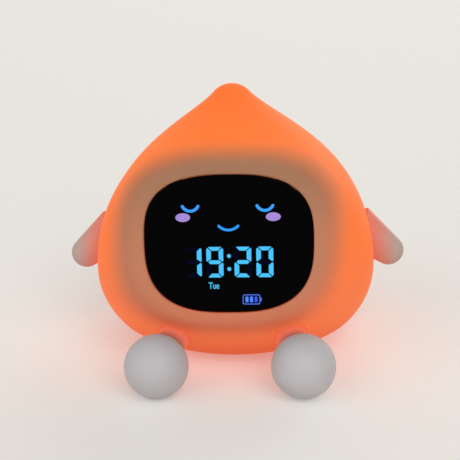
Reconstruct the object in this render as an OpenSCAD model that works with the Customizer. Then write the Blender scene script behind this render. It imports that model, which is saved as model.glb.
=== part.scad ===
// Bedside alarm clock with a night light for children.
// A drop-shaped translucent silicone skin stands on a base tray and two ball feet.
// It wraps a moulded frame that carries the display, the cell, the lamp and the controls.
// Millimetres. The origin is the centre of the base pad's underside, +Z is up, and the
// display faces -Y, so +X is on the right of someone who reads the clock.

/* [Body] */
// Width of the drop-shaped skin
body_w = 111; // [108:1:115]
// Height of the tip above the table
body_h = 106.4; // [104:0.2:112]
// Height of the widest ring
belly_z = 35; // [33:1:38]
// Radius of the flat underside of the skin
base_r = 21; // [20.5:0.5:24]
// Distance of the underside's centre behind the body axis
base_back = 8; // [6:0.5:9]
// Depth of the body ahead of its axis
front_d = 46; // [45:0.25:47.5]
// Depth of the body behind its axis
back_d = 49.5; // [48.5:0.25:50.5]
// Squareness of the front of a level section, 2 is an ellipse
front_n = 2.7; // [2.5:0.1:3.2]
// Squareness of the back of a level section
back_n = 2.8; // [2.6:0.1:3]
// Extra depth of the forehead above the display, as a share
forehead = 0.2; // [0.1:0.05:0.25]
// Radius of the rounded tip
tip_r = 9.5; // [7:0.5:11]
// Slope of the flank where it meets the tip, in degrees
tip_a = 48; // [44:1:54]
// Length over which the belly stays upright above its widest ring
belly_pull = 42; // [37:1:45]
// Length over which the flank runs straight into the tip
flank_pull = 14; // [12:1:20]
// Wall of the silicone skin
skin_t = 2.4; // [2:0.1:2.8]
// Height of the skin's underside above the table
skin_lift = 0.6; // [0.4:0.1:1]

/* [Display window] */
// Width of the glossy lens
lens_w = 61.8; // [58:0.2:64]
// Height of the lens above its widest line
lens_up = 23.7; // [22.5:0.1:24.3]
// Height of the lens below its widest line
lens_down = 26.9; // [25.5:0.1:28]
// Height of the lens's widest line above the table
lens_z = 55.6; // [55:0.2:57]
// Squareness of the lens outline
lens_n = 2.77; // [2.4:0.05:3.4]
// Distance of the lens face from the body axis
lens_y = 42.3; // [41.5:0.1:43]
// Lean of the display window towards the back, in degrees
lens_tilt = 9; // [6:0.5:11]
// Thickness of the lens
lens_t = 1.6; // [1.2:0.1:2]
// Step from the silicone lip down to the lens
lip_h = 0.6; // [0.3:0.1:1]
// Thickness of the adhesive gasket under the lens
gasket_t = 0.4; // [0.2:0.1:0.6]
// Width of the housing flange that shades the silicone round the lens
flange_w = 9.5; // [7:0.25:10.5]
// Thickness of the housing flange
flange_t = 1.8; // [1.4:0.1:2.2]

/* [Display module] */
// Margin of the segment block inside the lens outline
module_edge = 2.4; // [2:0.1:3]
// Thickness of the segment block
module_t = 6.5; // [5:0.25:7]
// Wall of the housing box round the block
box_t = 1.6; // [1.2:0.1:2]
// Height of a digit
digit_h = 11.6; // [10:0.2:13]
// Width of a digit
digit_w = 6.6; // [6:0.1:7.2]
// Distance from digit to digit within a pair
digit_pitch = 7.8; // [7.6:0.1:8.6]
// Distance of the eyelids from the middle of the display
eye_x = 13.7; // [13:0.1:15]
// Height of the eyelids above the lens's widest line
eye_z = 13.4; // [12.9:0.1:14.4]
// Height of the smile above the lens's widest line
smile_z = 5.9; // [5:0.1:6.6]
// Distance between the two pairs of digits
pair_gap = 18.1; // [17.6:0.1:21]
// Height of the digits' centre above the table
digit_z = 47.5; // [46.6:0.1:48.4]
// Width of a segment
segment_w = 1.9; // [1.4:0.1:2.2]
// Thickness of the circuit boards
pcb_t = 1.6; // [1.2:0.1:1.8]

/* [Feet and arms] */
// Diameter of a ball foot
foot_d = 23.6; // [22:0.2:25]
// Distance of each foot from the middle
foot_x = 26.8; // [25.4:0.2:28.4]
// Distance of the feet ahead of the body axis
foot_y = 56; // [54:0.5:59]
// Radius of the leg behind a foot
leg_r = 6.1; // [5.5:0.1:6.4]
// Length of the leg from the ball's centre to its end
leg_l = 36; // [35:0.5:37]
// Turn of the leg towards the middle, in degrees
leg_in = 13; // [12:0.5:18]
// Rise of the leg towards the body, in degrees
leg_rise = 10; // [9.5:0.5:12]
// Radius of an arm's rounded end
arm_tip_r = 6.1; // [5:0.1:7]
// Distance of that end's centre from the middle
arm_tip_x = 61.8; // [60:0.2:65]
// Height of that end's centre
arm_tip_z = 37.7; // [36:0.1:39]
// Radius of an arm at its root
arm_root_r = 9; // [8:0.2:10]
// Distance of the root's centre from the middle
arm_root_x = 47; // [46:0.2:49]
// Height of the root's centre
arm_root_z = 49.2; // [47.6:0.1:50.6]
// Thickness of an arm as a share of its width
arm_flat = 0.82; // [0.7:0.02:1]
// Radius of the neck that holds an arm in the skin
arm_neck_r = 4; // [3:0.2:5]

/* [Controls] */
// Width of the rear panel that shows in the skin
panel_w = 56; // [55.5:0.5:57]
// Height of the rear panel that shows
panel_h = 28; // [27.5:0.5:30]
// Height of the panel's centre above the table
panel_z = 38; // [37.5:0.5:40]
// Squareness of the panel outline
panel_n = 4; // [3.4:0.1:5]
// Distance of the silicone round the panel from the body axis
panel_lip_y = 44; // [43.6:0.1:44.4]
// Step from that silicone down to the panel
panel_recess = 0.8; // [0.4:0.1:1.2]
// Thickness of the panel's rim behind the skin
rim_t = 2; // [1.6:0.1:2.4]
// Width of that rim all round
rim_w = 3; // [2:0.25:3.5]
// Radius of a push button
button_r = 3.5; // [3:0.1:3.8]
// Distance between the push buttons across and up
button_pitch = 10.2; // [9.8:0.1:10.8]
// Distance of the buttons' middle from the body axis
buttons_x = 8.5; // [8:0.1:9]
// Travel of a push button
button_travel = 0.6; // [0.3:0.1:0.7]
// Height of a button above the panel
button_out = 1.2; // [0.8:0.1:2]
// Distance of the switch and the socket from the body axis
port_x = 24; // [23:0.1:24.4]
// Width of the power switch knob
knob_w = 2.6; // [2:0.1:3]
// Length of the knob along its travel
knob_l = 4; // [3:0.1:4.4]
// Travel of the power switch
knob_travel = 2.5; // [2:0.1:2.6]
// Radius of the round loudspeaker
speaker_r = 11; // [10:0.25:11.5]
// Thickness of the loudspeaker
speaker_t = 4.2; // [3:0.2:4.6]
// Distance of the loudspeaker from the body axis
speaker_x = 15; // [14.8:0.1:15.1]

/* [Inside] */
// Radius of the rechargeable cell
cell_r = 9.2; // [8:0.1:9.4]
// Length of the rechargeable cell
cell_l = 65; // [60:0.5:65.5]
// Distance between the frame's cheeks
cheek_gap = 68; // [67:0.25:69]
// Wall of the moulded frame
frame_t = 2.4; // [2:0.1:2.8]
// Height of the frame's lower deck
deck_z = 15; // [14.5:0.25:16]
// Height of the frame's upper bridge
bridge_z = 60; // [58:0.5:61]
// Radius of the lamp board
lamp_r = 15; // [13:0.25:15.5]
// Number of emitters round the lamp board
lamp_count = 8; // [6:1:8]
// Radius of the diffuser dome
dome_r = 18.5; // [18:0.25:20]
// Height of the diffuser dome
dome_h = 21; // [18:0.5:22]
// Wall of the diffuser dome
dome_t = 1.5; // [1.2:0.1:2]
// Radius of the hole in the skin's underside
hole_r = 19; // [18.5:0.25:19.5]
// Thickness of the bottom cover
cover_t = 3.2; // [3:0.1:3.6]
// Radius of the non-slip pad
pad_r = 16.4; // [14:0.2:17]
// Thickness of the non-slip pad
pad_t = 1.4; // [1.2:0.1:1.8]
// Radius of the screw shanks
screw_r = 1; // [0.8:0.05:1.1]
// Clearance between pieces that seat in each other
fit = 0.2; // [0.15:0.01:0.25]

/* [Hidden] */

$fn = 64;
eps = 0.05;                     // overrun of a cutting shape
around = 44;                    // points round a ring of the skin
low_steps = 8;                  // rings below the belly
up_steps = 16;                  // rings between the belly and the tip
tip_steps = 3;                  // rings of the rounded tip
oval_steps = 60;                // points of a squared oval

body_r = body_w / 2;
lens_top = lens_z + lens_up;
lip_y = lens_y + lip_h;
seat_y = lens_y - lens_t - gasket_t;          // flange face that the lens is glued to
box_back = seat_y - module_t - fit;           // back of the segment block
panel_y = panel_lip_y - panel_recess;         // outer face of the rear panel
rim_y = panel_lip_y - skin_t - fit;           // outer face of the panel's rim
panel_back = rim_y - rim_t;                   // inner face of the panel
board_y = panel_back - 7.8;                   // rear face of the main board
tact_t = 3.5;                                 // body of a tact switch
plunger_t = 0.8;                              // its plunger
stem_y = board_y + tact_t + plunger_t + button_travel + 0.1;
button_x = [for (i = [-0.5, 0.5]) buttons_x + i * button_pitch];
button_z = [for (i = [-0.5, 0.5]) panel_z + i * button_pitch];
knob_z = panel_z + 4.2;                       // knob at rest, the lower end of its travel
usb_z = panel_z - 5.6;
usb_w = 8.94;                                 // standard shell of the charging socket
usb_h = 3.26;
board_holes = [for (z = [-1, 1]) each
    [[1.5 - panel_w / 2, z * (panel_h / 2 - 3)], [port_x - 5.4, z * (panel_h / 2 - 2.8)]]];
lug_x = cheek_gap / 2 - 2.6;                  // screws that join the housing to the frame
lug_z = [lens_z - 14, lens_z + 8];
panel_lug_x = panel_w / 2 + 1.2;
housing_back = 27;                            // housing bosses end here
deck_top = deck_z + frame_t;
cell_z = deck_top + cell_r + fit;
bridge_top = bridge_z + frame_t;
lamp_z = bridge_top + 2;
tray_top = deck_z - fit / 2;
ribbon_z = [lens_z - 13, panel_z + 10];       // ribbon sockets of the two boards
floor_z = skin_lift + cover_t + fit;          // tray floor over the bottom cover
seat_z = skin_lift + skin_t + fit;            // tray rim over the skin's lip
cover_hole = hole_r - 4;                      // pitch radius of the cover screws
frame_holes = [for (x = [-1, 1], y = [-1, 1]) [28.5 * x, base_back - 3 + 14 * y]];
flange_ease = 2.0;                            // gap that opens under the flange's edge
boss_y = flange_ease + flange_t / 2 - seat_y;  // bosses start within the flange
board_gap = 1.6;                              // display screws outside the lens outline
socket_l = 8.5;                               // length of a leg socket
tray_wall = 2;
rim_margin = 2.4;                             // flat silicone round the panel's rim
strap_w = 12;
strap_t = 1.5;
post_r = 2.4;
head_r = 1.9;
head_t = 1.4;
strap_hole = cell_r + fit + strap_t + head_r + 1;

// ---- formulas of the body ----

function mix(a, b, t) = a + (b - a) * t;
function ease(t) = let (c = min(max(t, 0), 1)) c * c * (3 - 2 * c);
function bezier(a, b, c, d, t) = let (u = 1 - t)
    u * u * u * a + 3 * u * u * t * b + 3 * u * t * t * c + t * t * t * d;
function soft_min(a, b) = pow(pow(max(a, 0.01), -8) + pow(b, -8), -1 / 8);

// Side profile as [radius, height], from the underside's edge to just below the tip.
tip_start = [tip_r * sin(tip_a), body_h - tip_r + tip_r * cos(tip_a)];
profile = concat(
    [for (i = [0 : low_steps]) let (a = 90 * i / low_steps)
        [base_r + (body_r - base_r) * sin(a), mix(belly_z, skin_lift, cos(a))]],
    [for (i = [1 : up_steps])
        bezier([body_r, belly_z], [body_r, belly_z + belly_pull],
               tip_start - flank_pull * [-cos(tip_a), sin(tip_a)], tip_start, i / up_steps)],
    [for (i = [1 : tip_steps - 1]) let (a = tip_a * (1 - i / tip_steps))
        [tip_r * sin(a), body_h - tip_r + tip_r * cos(a)]]);
last = len(profile) - 1;

// Outward normal of the side profile at station i.
function profile_normal(i) =
    let (t = profile[min(i + 1, last)] - profile[max(i - 1, 0)]) [t.y, -t.x] / norm(t);

// Depth of the body ahead of and behind its axis where its half width is r.
function ahead(r, z) =
    soft_min(r * (1 + forehead * ease((z - belly_z) / (lens_top - belly_z))), front_d);
function behind(r) = soft_min(r, back_d);

// The level sections lean back towards the underside.
function lean(z) = base_back * (1 - ease(z / belly_z));

// Squareness of the level section at height z; it is round at the base and at the tip.
function squareness(n, z) =
    2 + (n - 2) * ease(z / 14) * ease((body_h - z) / (body_h - lens_top + 10));

// How far a point lies out from the lens and from the flat seat of the panel's rim: 1 is
// their outline.
function lens_norm(x, z) =
    pow(pow(abs(x) / (lens_w / 2), lens_n)
        + pow(abs(z) / (z > 0 ? lens_up : lens_down), lens_n), 1 / lens_n);
function panel_norm(x, z) =
    pow(pow(abs(x) / (panel_w / 2 + rim_w + rim_margin), panel_n)
        + pow(abs(z) / (panel_h / 2 + rim_w + rim_margin), panel_n), 1 / panel_n);

// Depth of the leaning plane that lies d ahead of the axis at the lens's widest line.
function lens_plane(z, d) = (z - lens_z) * tan(lens_tilt) - d;

// The skin lies flat round the lens and round the panel and eases into the drop.
function flatten_y(x, y, z, inset) = y < 0
    ? mix(lens_plane(z, lip_y - inset), y, ease((lens_norm(x, z - lens_z) - 1.06) / 0.4))
    : mix(panel_lip_y - inset, y, ease((panel_norm(x, z - panel_z) - 1) / 0.4));

// A point of the skin at angle a, at station i, inset from the outside.
function skin_point(a, i, inset) =
    let (p = profile[i], nrm = i == 0 ? [0, -1] : profile_normal(i),
         r = p.x - inset * nrm.x, z = p.y - inset * nrm.y,
         d = (sin(a) < 0 ? ahead(p.x, p.y) : behind(p.x)) - inset * nrm.x,
         n = squareness(sin(a) < 0 ? front_n : back_n, p.y),
         q = pow(pow(abs(cos(a)) / r, n) + pow(abs(sin(a)) / d, n), -1 / n))
    [q * cos(a), flatten_y(q * cos(a), q * sin(a) + lean(p.y), z, inset), z];

// Depth of the inside of the skin's front: at station i, then at height z.
function front_ring(x, i) =
    let (p = profile[i], nrm = profile_normal(i), n = squareness(front_n, p.y),
         s = pow(min(abs(x) / (p.x - skin_t * nrm.x), 0.999), n))
    flatten_y(x, lean(p.y) - (ahead(p.x, p.y) - skin_t * nrm.x) * pow(1 - s, 1 / n),
              p.y - skin_t * nrm.y, skin_t);
inner_radius = [for (i = [1 : last])
    [profile[i].y - skin_t * profile_normal(i).y, profile[i].x - skin_t * profile_normal(i).x]];
inner_station = [for (i = [1 : last]) [profile[i].y - skin_t * profile_normal(i).y, i]];
function front_at(x, z) = let (s = lookup(z, inner_station), i = floor(s))
    mix(front_ring(x, i), front_ring(x, min(i + 1, last)), s - i);

// ---- shared shapes ----

// Outline of the lens, grown by g: its point at angle a, and all its points.
function lens_edge(a, g) =
    let (h = sin(a) > 0 ? lens_up : lens_down,
         q = pow(pow(abs(cos(a)) / (lens_w / 2 + g), lens_n)
                 + pow(abs(sin(a)) / (h + g), lens_n), -1 / lens_n))
    [q * cos(a), q * sin(a)];
function lens_outline(g) = [for (i = [0 : oval_steps - 1]) lens_edge(360 * i / oval_steps, g)];
board_ears = [for (a = [45, 135, 225, 315]) lens_edge(a, board_gap)];

// Outline of the rear panel, grown by g.
function panel_outline(g) = [for (i = [0 : oval_steps - 1])
    let (a = 360 * i / oval_steps,
         q = pow(pow(abs(cos(a)) / (panel_w / 2 + g), panel_n)
                 + pow(abs(sin(a)) / (panel_h / 2 + g), panel_n), -1 / panel_n))
    [q * cos(a), q * sin(a)]];

// Extrudes a shape drawn as seen from the front, between two depths y0 < y1.
module slab(y0, y1) translate([0, y1, 0]) rotate([90, 0, 0]) linear_extrude(y1 - y0) children();

// Leans a piece that is drawn upright at the display window.
module leaning() translate([0, -lens_y, lens_z]) rotate([-lens_tilt, 0, 0])
    translate([0, lens_y, -lens_z]) children();

function span(middle, low, high) = [middle + low, middle + high];

// A box given by its spans along X, Y and Z.
module block(x, y, z) translate([x[0], y[0], z[0]])
    cube([x[1] - x[0], y[1] - y[0], z[1] - z[0]]);

// A cylinder along +Y from y0 to y1.
module rod_y(x, z, r, y0, y1) translate([x, y1, z]) rotate([90, 0, 0]) cylinder(r = r, h = y1 - y0);

module rounded(w, h, r) hull() for (x = [-1, 1], y = [-1, 1])
    translate([x * (w / 2 - r), y * (h / 2 - r)]) circle(r, $fn = 32);

// A pan-head screw: head up, shank of length l down from z = 0.
module screw(l) {
    translate([0, 0, -l]) cylinder(r = screw_r, h = l);
    difference() {
        cylinder(r = head_r, h = head_t);
        for (a = [0, 90]) rotate(a)
            translate([-head_r * 0.6, -0.3, head_t - 0.5]) cube([head_r * 1.2, 0.6, 1]);
    }
}

// Turns the +Z axis to the depth axis: back = 1 looks along +Y, -1 along -Y.
module facing(back) rotate([-90 * back, 0, 0]) children();

// A lead along one smooth curve from a to d.
module lead(a, b, c, d, r = 0.65, rings = 12, sides = 8) {
    path = [for (i = [0 : rings]) bezier(a, b, c, d, i / rings)];
    pts = [for (i = [0 : rings])
        let (t = path[min(i + 1, rings)] - path[max(i - 1, 0)], w = t / norm(t),
             u = cross(w, abs(w.z) < 0.8 ? [0, 0, 1] : [1, 0, 0]), un = u / norm(u),
             v = cross(w, un))
        for (k = [0 : sides - 1]) path[i] + r * (cos(360 * k / sides) * un + sin(360 * k / sides) * v)];
    polyhedron(pts, concat(
        [[for (k = [0 : sides - 1]) k]],
        [[for (k = [sides - 1 : -1 : 0]) rings * sides + k]],
        [for (i = [0 : rings - 1], k = [0 : sides - 1]) let (m = (k + 1) % sides)
            each [[i * sides + k, (i + 1) * sides + k, i * sides + m],
                  [i * sides + m, (i + 1) * sides + k, (i + 1) * sides + m]]]), convexity = 4);
}

// Places a leg: its axis runs along +Z from the ball's centre into the body.
module along_leg(side) translate([side * foot_x, -foot_y, foot_d / 2])
    rotate([0, 0, side * leg_in]) rotate([-90 + leg_rise, 0, 0]) children();

// ---- silicone skin ----

// One closed surface: from the hole's edge up the outside and down the inside.
module skin_surface() {
    edge = function (inset) [for (k = [0 : around - 1]) let (a = 360 * k / around)
        [hole_r * cos(a), base_back + hole_r * sin(a), skin_lift + inset]];
    pts = concat(
        edge(0),
        [for (i = [0 : last], k = [0 : around - 1]) skin_point(360 * k / around, i, 0)],
        edge(skin_t),
        [for (i = [0 : last], k = [0 : around - 1]) skin_point(360 * k / around, i, skin_t)],
        [[0, 0, body_h], [0, 0, body_h - skin_t]]);
    n = around;
    inner = (last + 2) * n;             // first point of the inside
    apex = 2 * inner;
    polyhedron(pts, concat(
        [for (i = [0 : last], k = [0 : n - 1]) let (m = (k + 1) % n, a = i * n, b = a + n)
            each [[a + k, b + k, a + m], [a + m, b + k, b + m]]],
        [for (i = [0 : last], k = [0 : n - 1])
            let (m = (k + 1) % n, a = inner + i * n, b = a + n)
            each [[a + k, a + m, b + k], [a + m, b + m, b + k]]],
        [for (k = [0 : n - 1]) let (m = (k + 1) % n)
            each [[inner - n + k, apex, inner - n + m],
                  [apex - n + k, apex - n + m, apex + 1],
                  [k, m, inner + k], [m, inner + m, inner + k]]]), convexity = 8);
}

module silicone_skin() color([1, 0.62, 0.4]) difference() {
    skin_surface();
    leaning() translate([0, 0, lens_z]) slab(-front_d - 8, -front_d + 16) polygon(lens_outline(fit));
    translate([0, 0, panel_z]) slab(back_d - 14, back_d + 8) polygon(panel_outline(fit));
    for (s = [-1, 1]) {
        along_leg(s) translate([0, 0, foot_d / 2]) cylinder(r = leg_r + fit, h = leg_l);
        arm_socket(s) cylinder(r = arm_neck_r + fit, h = 30, center = true);
    }
}

// ---- arms and feet ----

neck_z = mix(arm_root_z, arm_tip_z, 0.3);
module arm_socket(side) translate([side * body_r, 0, neck_z]) rotate([0, side * 90, 0]) children();

module arm(side) {
    difference() {
        scale([1, arm_flat, 1]) hull() {
            translate([side * arm_tip_x, 0, arm_tip_z]) sphere(arm_tip_r, $fn = 28);
            translate([side * arm_root_x, 0, arm_root_z]) sphere(arm_root_r, $fn = 28);
        }
        // seat against the flank of the skin
        rotate([90, 0, 0]) linear_extrude(4 * arm_root_r, center = true)
            polygon(concat([[0, 0]], [for (p = profile) [side * (p.x + fit), p.y]], [[0, body_h]]));
    }
    arm_socket(side) {
        translate([0, 0, -skin_t - 3.6]) cylinder(r = arm_neck_r, h = skin_t + 5.6);
        translate([0, 0, -skin_t - 3.8]) cylinder(r = arm_neck_r + 1.6, h = 1.4);
    }
}
module arm_left() color([0.96, 0.9, 0.87]) arm(-1);
module arm_right() color([0.96, 0.9, 0.87]) arm(1);

// A ball foot and its leg, moulded in one, with a grip groove near the end.
module foot(side) difference() {
    along_leg(side) {
        sphere(foot_d / 2);
        difference() {
            cylinder(r = leg_r, h = leg_l);
            translate([0, 0, leg_l - 5]) rotate_extrude()
                polygon([[leg_r - 0.9, -1], [leg_r + 1, -1], [leg_r + 1, 1], [leg_r - 0.9, 1]]);
            translate([0, 0, leg_l - 8]) cylinder(r = screw_r + eps, h = 9);
        }
    }
}
module foot_left() color([0.9, 0.89, 0.88]) foot(-1);
module foot_right() color([0.9, 0.89, 0.88]) foot(1);

// ---- display ----

module display_lens() color([0.02, 0.02, 0.03]) leaning()
    translate([0, 0, lens_z]) slab(-lens_y, -lens_y + lens_t) polygon(lens_outline(0));

module lens_gasket() color([0.1, 0.1, 0.1]) leaning() translate([0, 0, lens_z])
    slab(-seat_y - gasket_t, -seat_y) difference() {
        polygon(lens_outline(-0.5));
        polygon(lens_outline(fit - module_edge));
    }

// The flange follows the inside of the skin: rings of points grown from the lens outline.
module housing_flange() {
    grow = [-0.3, 0.3, 2, 5, flange_w];
    rows = len(grow);
    n = oval_steps;
    pts = [for (back = [0, flange_t], g = grow, k = [0 : n - 1])
        let (p = lens_edge(360 * k / n, g), z = p.y + lens_z,
             x = sign(p.x) * min(abs(p.x), 0.86 * lookup(z, inner_radius)))
        [x, max(front_at(x, z), lens_plane(z, lip_y - skin_t)) + 1.6 * fit
            + flange_ease * min(max(g, 0) / 3, 1) + back, z]];
    h = rows * n;                       // first point of the back
    polyhedron(pts, concat(
        [for (i = [0 : rows - 2], k = [0 : n - 1]) let (m = (k + 1) % n, a = i * n, b = a + n)
            each [[a + k, a + m, b + k], [a + m, b + m, b + k],
                  [h + a + k, h + b + k, h + a + m], [h + a + m, h + b + k, h + b + m]]],
        [for (k = [0 : n - 1]) let (m = (k + 1) % n, e = (rows - 1) * n)
            each [[k, h + k, m], [m, h + k, h + m],
                  [e + k, e + m, h + e + k], [e + m, h + e + m, h + e + k]]]), convexity = 6);
}

module display_housing() color([0.12, 0.12, 0.13]) difference() {
    union() {
        housing_flange();
        leaning() translate([0, 0, lens_z]) {
            slab(-seat_y, -seat_y + flange_t) polygon(lens_outline(0));
            slab(-seat_y + eps, -box_back) polygon(lens_outline(box_t + fit - module_edge));
            for (e = board_ears) rod_y(e.x, e.y, 2.2, boss_y, -box_back);
        }
        for (x = [-1, 1], z = lug_z)
            rod_y(x * lug_x, z, 2.8, lens_plane(z, -boss_y), -housing_back);
    }
    leaning() translate([0, 0, lens_z]) {
        slab(-seat_y - 1, -box_back + 1) polygon(lens_outline(fit - module_edge));
        for (e = board_ears) rod_y(e.x, e.y, screw_r + eps, -box_back - 4.5, -box_back + 1);
    }
    for (x = [-1, 1], z = lug_z)
        rod_y(x * lug_x, z, screw_r + eps, -housing_back - 8, -housing_back + 1);
    for (s = [-1, 1]) along_leg(s) cylinder(r = leg_r + 2.4, h = leg_l);
}

// One segment with pointed ends, lying along X.
module segment(l, w) polygon([[-l / 2, 0], [-l / 2 + w / 2, w / 2], [l / 2 - w / 2, w / 2],
                              [l / 2, 0], [l / 2 - w / 2, -w / 2], [-l / 2 + w / 2, -w / 2]]);

module digit() {
    w = digit_w - segment_w;
    h = (digit_h - segment_w) / 2;
    for (z = [-1, 0, 1]) translate([0, z * h]) segment(w - 0.3, segment_w);
    for (x = [-1, 1], z = [-1, 1]) translate([x * w / 2, z * h / 2]) rotate(90)
        segment(h - 0.3, segment_w);
}

// A curved stroke that hangs like a closed eyelid or a smile: chord w, sag s.
module eyelid(w, s, t) {
    r = (w * w / 4 + s * s) / (2 * s);
    translate([0, r - s]) intersection() {
        difference() { circle(r); circle(r - t); }
        polygon([[0, 0], [-w, -w * (r - s) / (w / 2)], [w, -w * (r - s) / (w / 2)]]);
    }
}

// Wells of the face, the clock digits and the small signs, seen from the front.
module wells() {
    for (p = [-1, 1], d = [-1, 1])
        translate([p * pair_gap / 2 + d * digit_pitch / 2, digit_z - lens_z]) digit();
    for (z = [-1, 1]) translate([0, digit_z - lens_z + z * 2.6]) circle(0.9);
    for (x = [-1, 1]) {
        translate([x * eye_x, eye_z]) eyelid(7.3, 3.4, 1.1);
        translate([x * (eye_x + 2.7), eye_z - 5.2]) scale([1, 0.64]) circle(2.9);
    }
    translate([0, smile_z]) eyelid(8.4, 3.1, 1);
    // weekday and charge signs
    translate([-5.6, digit_z - lens_z - 8.9]) square([4.7, 2.8], center = true);
    translate([8.3, digit_z - lens_z - 14]) square([7.1, 3.7], center = true);
}

module display_module() color([0.92, 0.92, 0.9]) leaning() translate([0, 0, lens_z]) difference() {
    slab(-seat_y, -box_back) polygon(lens_outline(-module_edge));
    slab(-seat_y - 1, -box_back - 1.5) wells();
}

module display_pcb() color([0.05, 0.3, 0.15]) leaning() translate([0, 0, lens_z]) difference() {
    union() {
        slab(-box_back + fit, -box_back + fit + pcb_t) {
            polygon(lens_outline(-module_edge));
            intersection() {
                polygon(lens_outline(board_gap + 2.4));
                for (a = [45, 135]) rotate(a) square([lens_w * 2, 6], center = true);
            }
        }
        // driver chip and ribbon socket
        block([-5, 5], [-box_back + fit + pcb_t - eps, -box_back + 3.2], [-2, 6]);
        block([-8, 8], [-box_back + fit + pcb_t - eps, -box_back + 3.8],
              span(ribbon_z[0] - lens_z, -2, 2));
    }
    for (e = board_ears) rod_y(e.x, e.y, screw_r + fit, -box_back - 1, -box_back + 5);
}

module display_screws() color([0.75, 0.75, 0.78]) leaning() for (e = board_ears)
    translate([e.x, -box_back + fit + pcb_t, lens_z + e.y]) facing(1) screw(5);

// ---- frame and lower parts ----

// A cheek of the frame in the side plane, from the display lugs to the panel lug.
module cheek() difference() {
    union() {
        translate([-22, deck_z]) square([44, bridge_top - deck_z]);
        translate([-housing_back, lug_z[0] - 4]) square([14, lug_z[1] - lug_z[0] + 8]);
        translate([20, panel_z - 5]) square([panel_back - 1.2 - frame_t - 20 + eps, 10]);
    }
    translate([0, (deck_z + bridge_z) / 2 + 1]) rounded(27, bridge_z - deck_z - 14, 6);
}

module core_frame() color([0.93, 0.93, 0.92]) difference() {
    union() {
        for (s = [-1, 1]) translate([s > 0 ? cheek_gap / 2 : -cheek_gap / 2 - frame_t, 0, 0])
            rotate([90, 0, 90]) linear_extrude(frame_t) cheek();
        // lower deck and upper bridge
        translate([0, 4, deck_z]) linear_extrude(frame_t) intersection() {
            circle(cheek_gap / 2 + frame_t + 2);
            square([cheek_gap + 2 * frame_t, 42], center = true);
        }
        block([-cheek_gap / 2 - eps, cheek_gap / 2 + eps], [-dome_r - 1, dome_r + 1],
              [bridge_z, bridge_top]);
        // saddles of the cell
        for (s = [-1, 1]) block([s * 20 - 1.5, s * 20 + 1.5], [-11, 11], [deck_top - eps, cell_z - 2]);
        for (s = [-1, 1]) {
            // lugs of the display housing and of the rear panel
            for (z = lug_z) block(s > 0 ? [lug_x - 3, cheek_gap / 2 + eps]
                                          : [-cheek_gap / 2 - eps, -lug_x + 3],
                                    [-housing_back, -housing_back + frame_t],
                                    span(z, -3.5, 3.5));
            block(s > 0 ? [panel_lug_x - 3, cheek_gap / 2 + frame_t]
                        : [-cheek_gap / 2 - frame_t, -panel_lug_x + 3],
                  span(panel_back - 1.2, -frame_t, 0), span(panel_z, -5, 5));
        }
        for (a = [90, 210, 330]) rotate(a) translate([lamp_r - 4, 0, bridge_top - eps])
            cylinder(r = post_r, h = lamp_z - bridge_top + eps);
    }
    translate([0, 0, cell_z]) rotate([0, 90, 0]) cylinder(r = cell_r + fit, h = cheek_gap - 2, center = true);
    // light passages in the bridge
    for (s = [-1, 1]) translate([s * 26.5, 0, bridge_z - 1]) linear_extrude(frame_t + 2)
        rounded(10, 30, 4);
    for (a = [90, 210, 330]) rotate(a) translate([lamp_r - 4, 0, bridge_z + 0.6])
        cylinder(r = screw_r + eps, h = 8);
    for (s = [-1, 1]) {
        for (z = lug_z)
            rod_y(s * lug_x, z, screw_r + fit, -housing_back - 1, -housing_back + 5);
        rod_y(s * panel_lug_x, panel_z, screw_r + fit, panel_back - 6, panel_back);
        translate([0, s * strap_hole, deck_z - 1]) cylinder(r = screw_r + eps, h = 6);
    }
    for (h = frame_holes) translate([h.x, h.y, deck_z - 1]) cylinder(r = screw_r + fit, h = 6);
}

module housing_screws() color([0.75, 0.75, 0.78]) for (x = [-1, 1], z = lug_z)
    translate([x * lug_x, -housing_back + frame_t, z]) facing(1) screw(8);

module panel_screws() color([0.75, 0.75, 0.78]) for (x = [-1, 1])
    translate([x * panel_lug_x, panel_back - 1.2 - frame_t, panel_z]) facing(-1) screw(4.5);

module frame_screws() color([0.75, 0.75, 0.78]) for (h = frame_holes)
    translate([h.x, h.y, deck_top]) screw(8);

module leg_screws() color([0.75, 0.75, 0.78]) for (s = [-1, 1])
    along_leg(s) translate([0, 0, leg_l + 1.5]) screw(6.5);

// The tray is a revolved dish that follows the inside of the skin: [radius, height].
tray_side = [for (i = [0 : low_steps])
    let (p = profile[i], nrm = i == 0 ? [0, -1] : profile_normal(i), back = base_back - lean(p.y))
    [min(ahead(p.x, p.y) + back, behind(p.x) - back, panel_lip_y - base_back, p.x), p.y] - (skin_t + fit + 2 * fit * nrm.x) * nrm];
function tray_r(z) = lookup(z, [for (p = tray_side) [p.y, p.x]]);
tray_low = [for (p = tray_side) if (p.y < tray_top - 0.5) p];
tray_rim = [tray_r(tray_top), tray_top];

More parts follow.
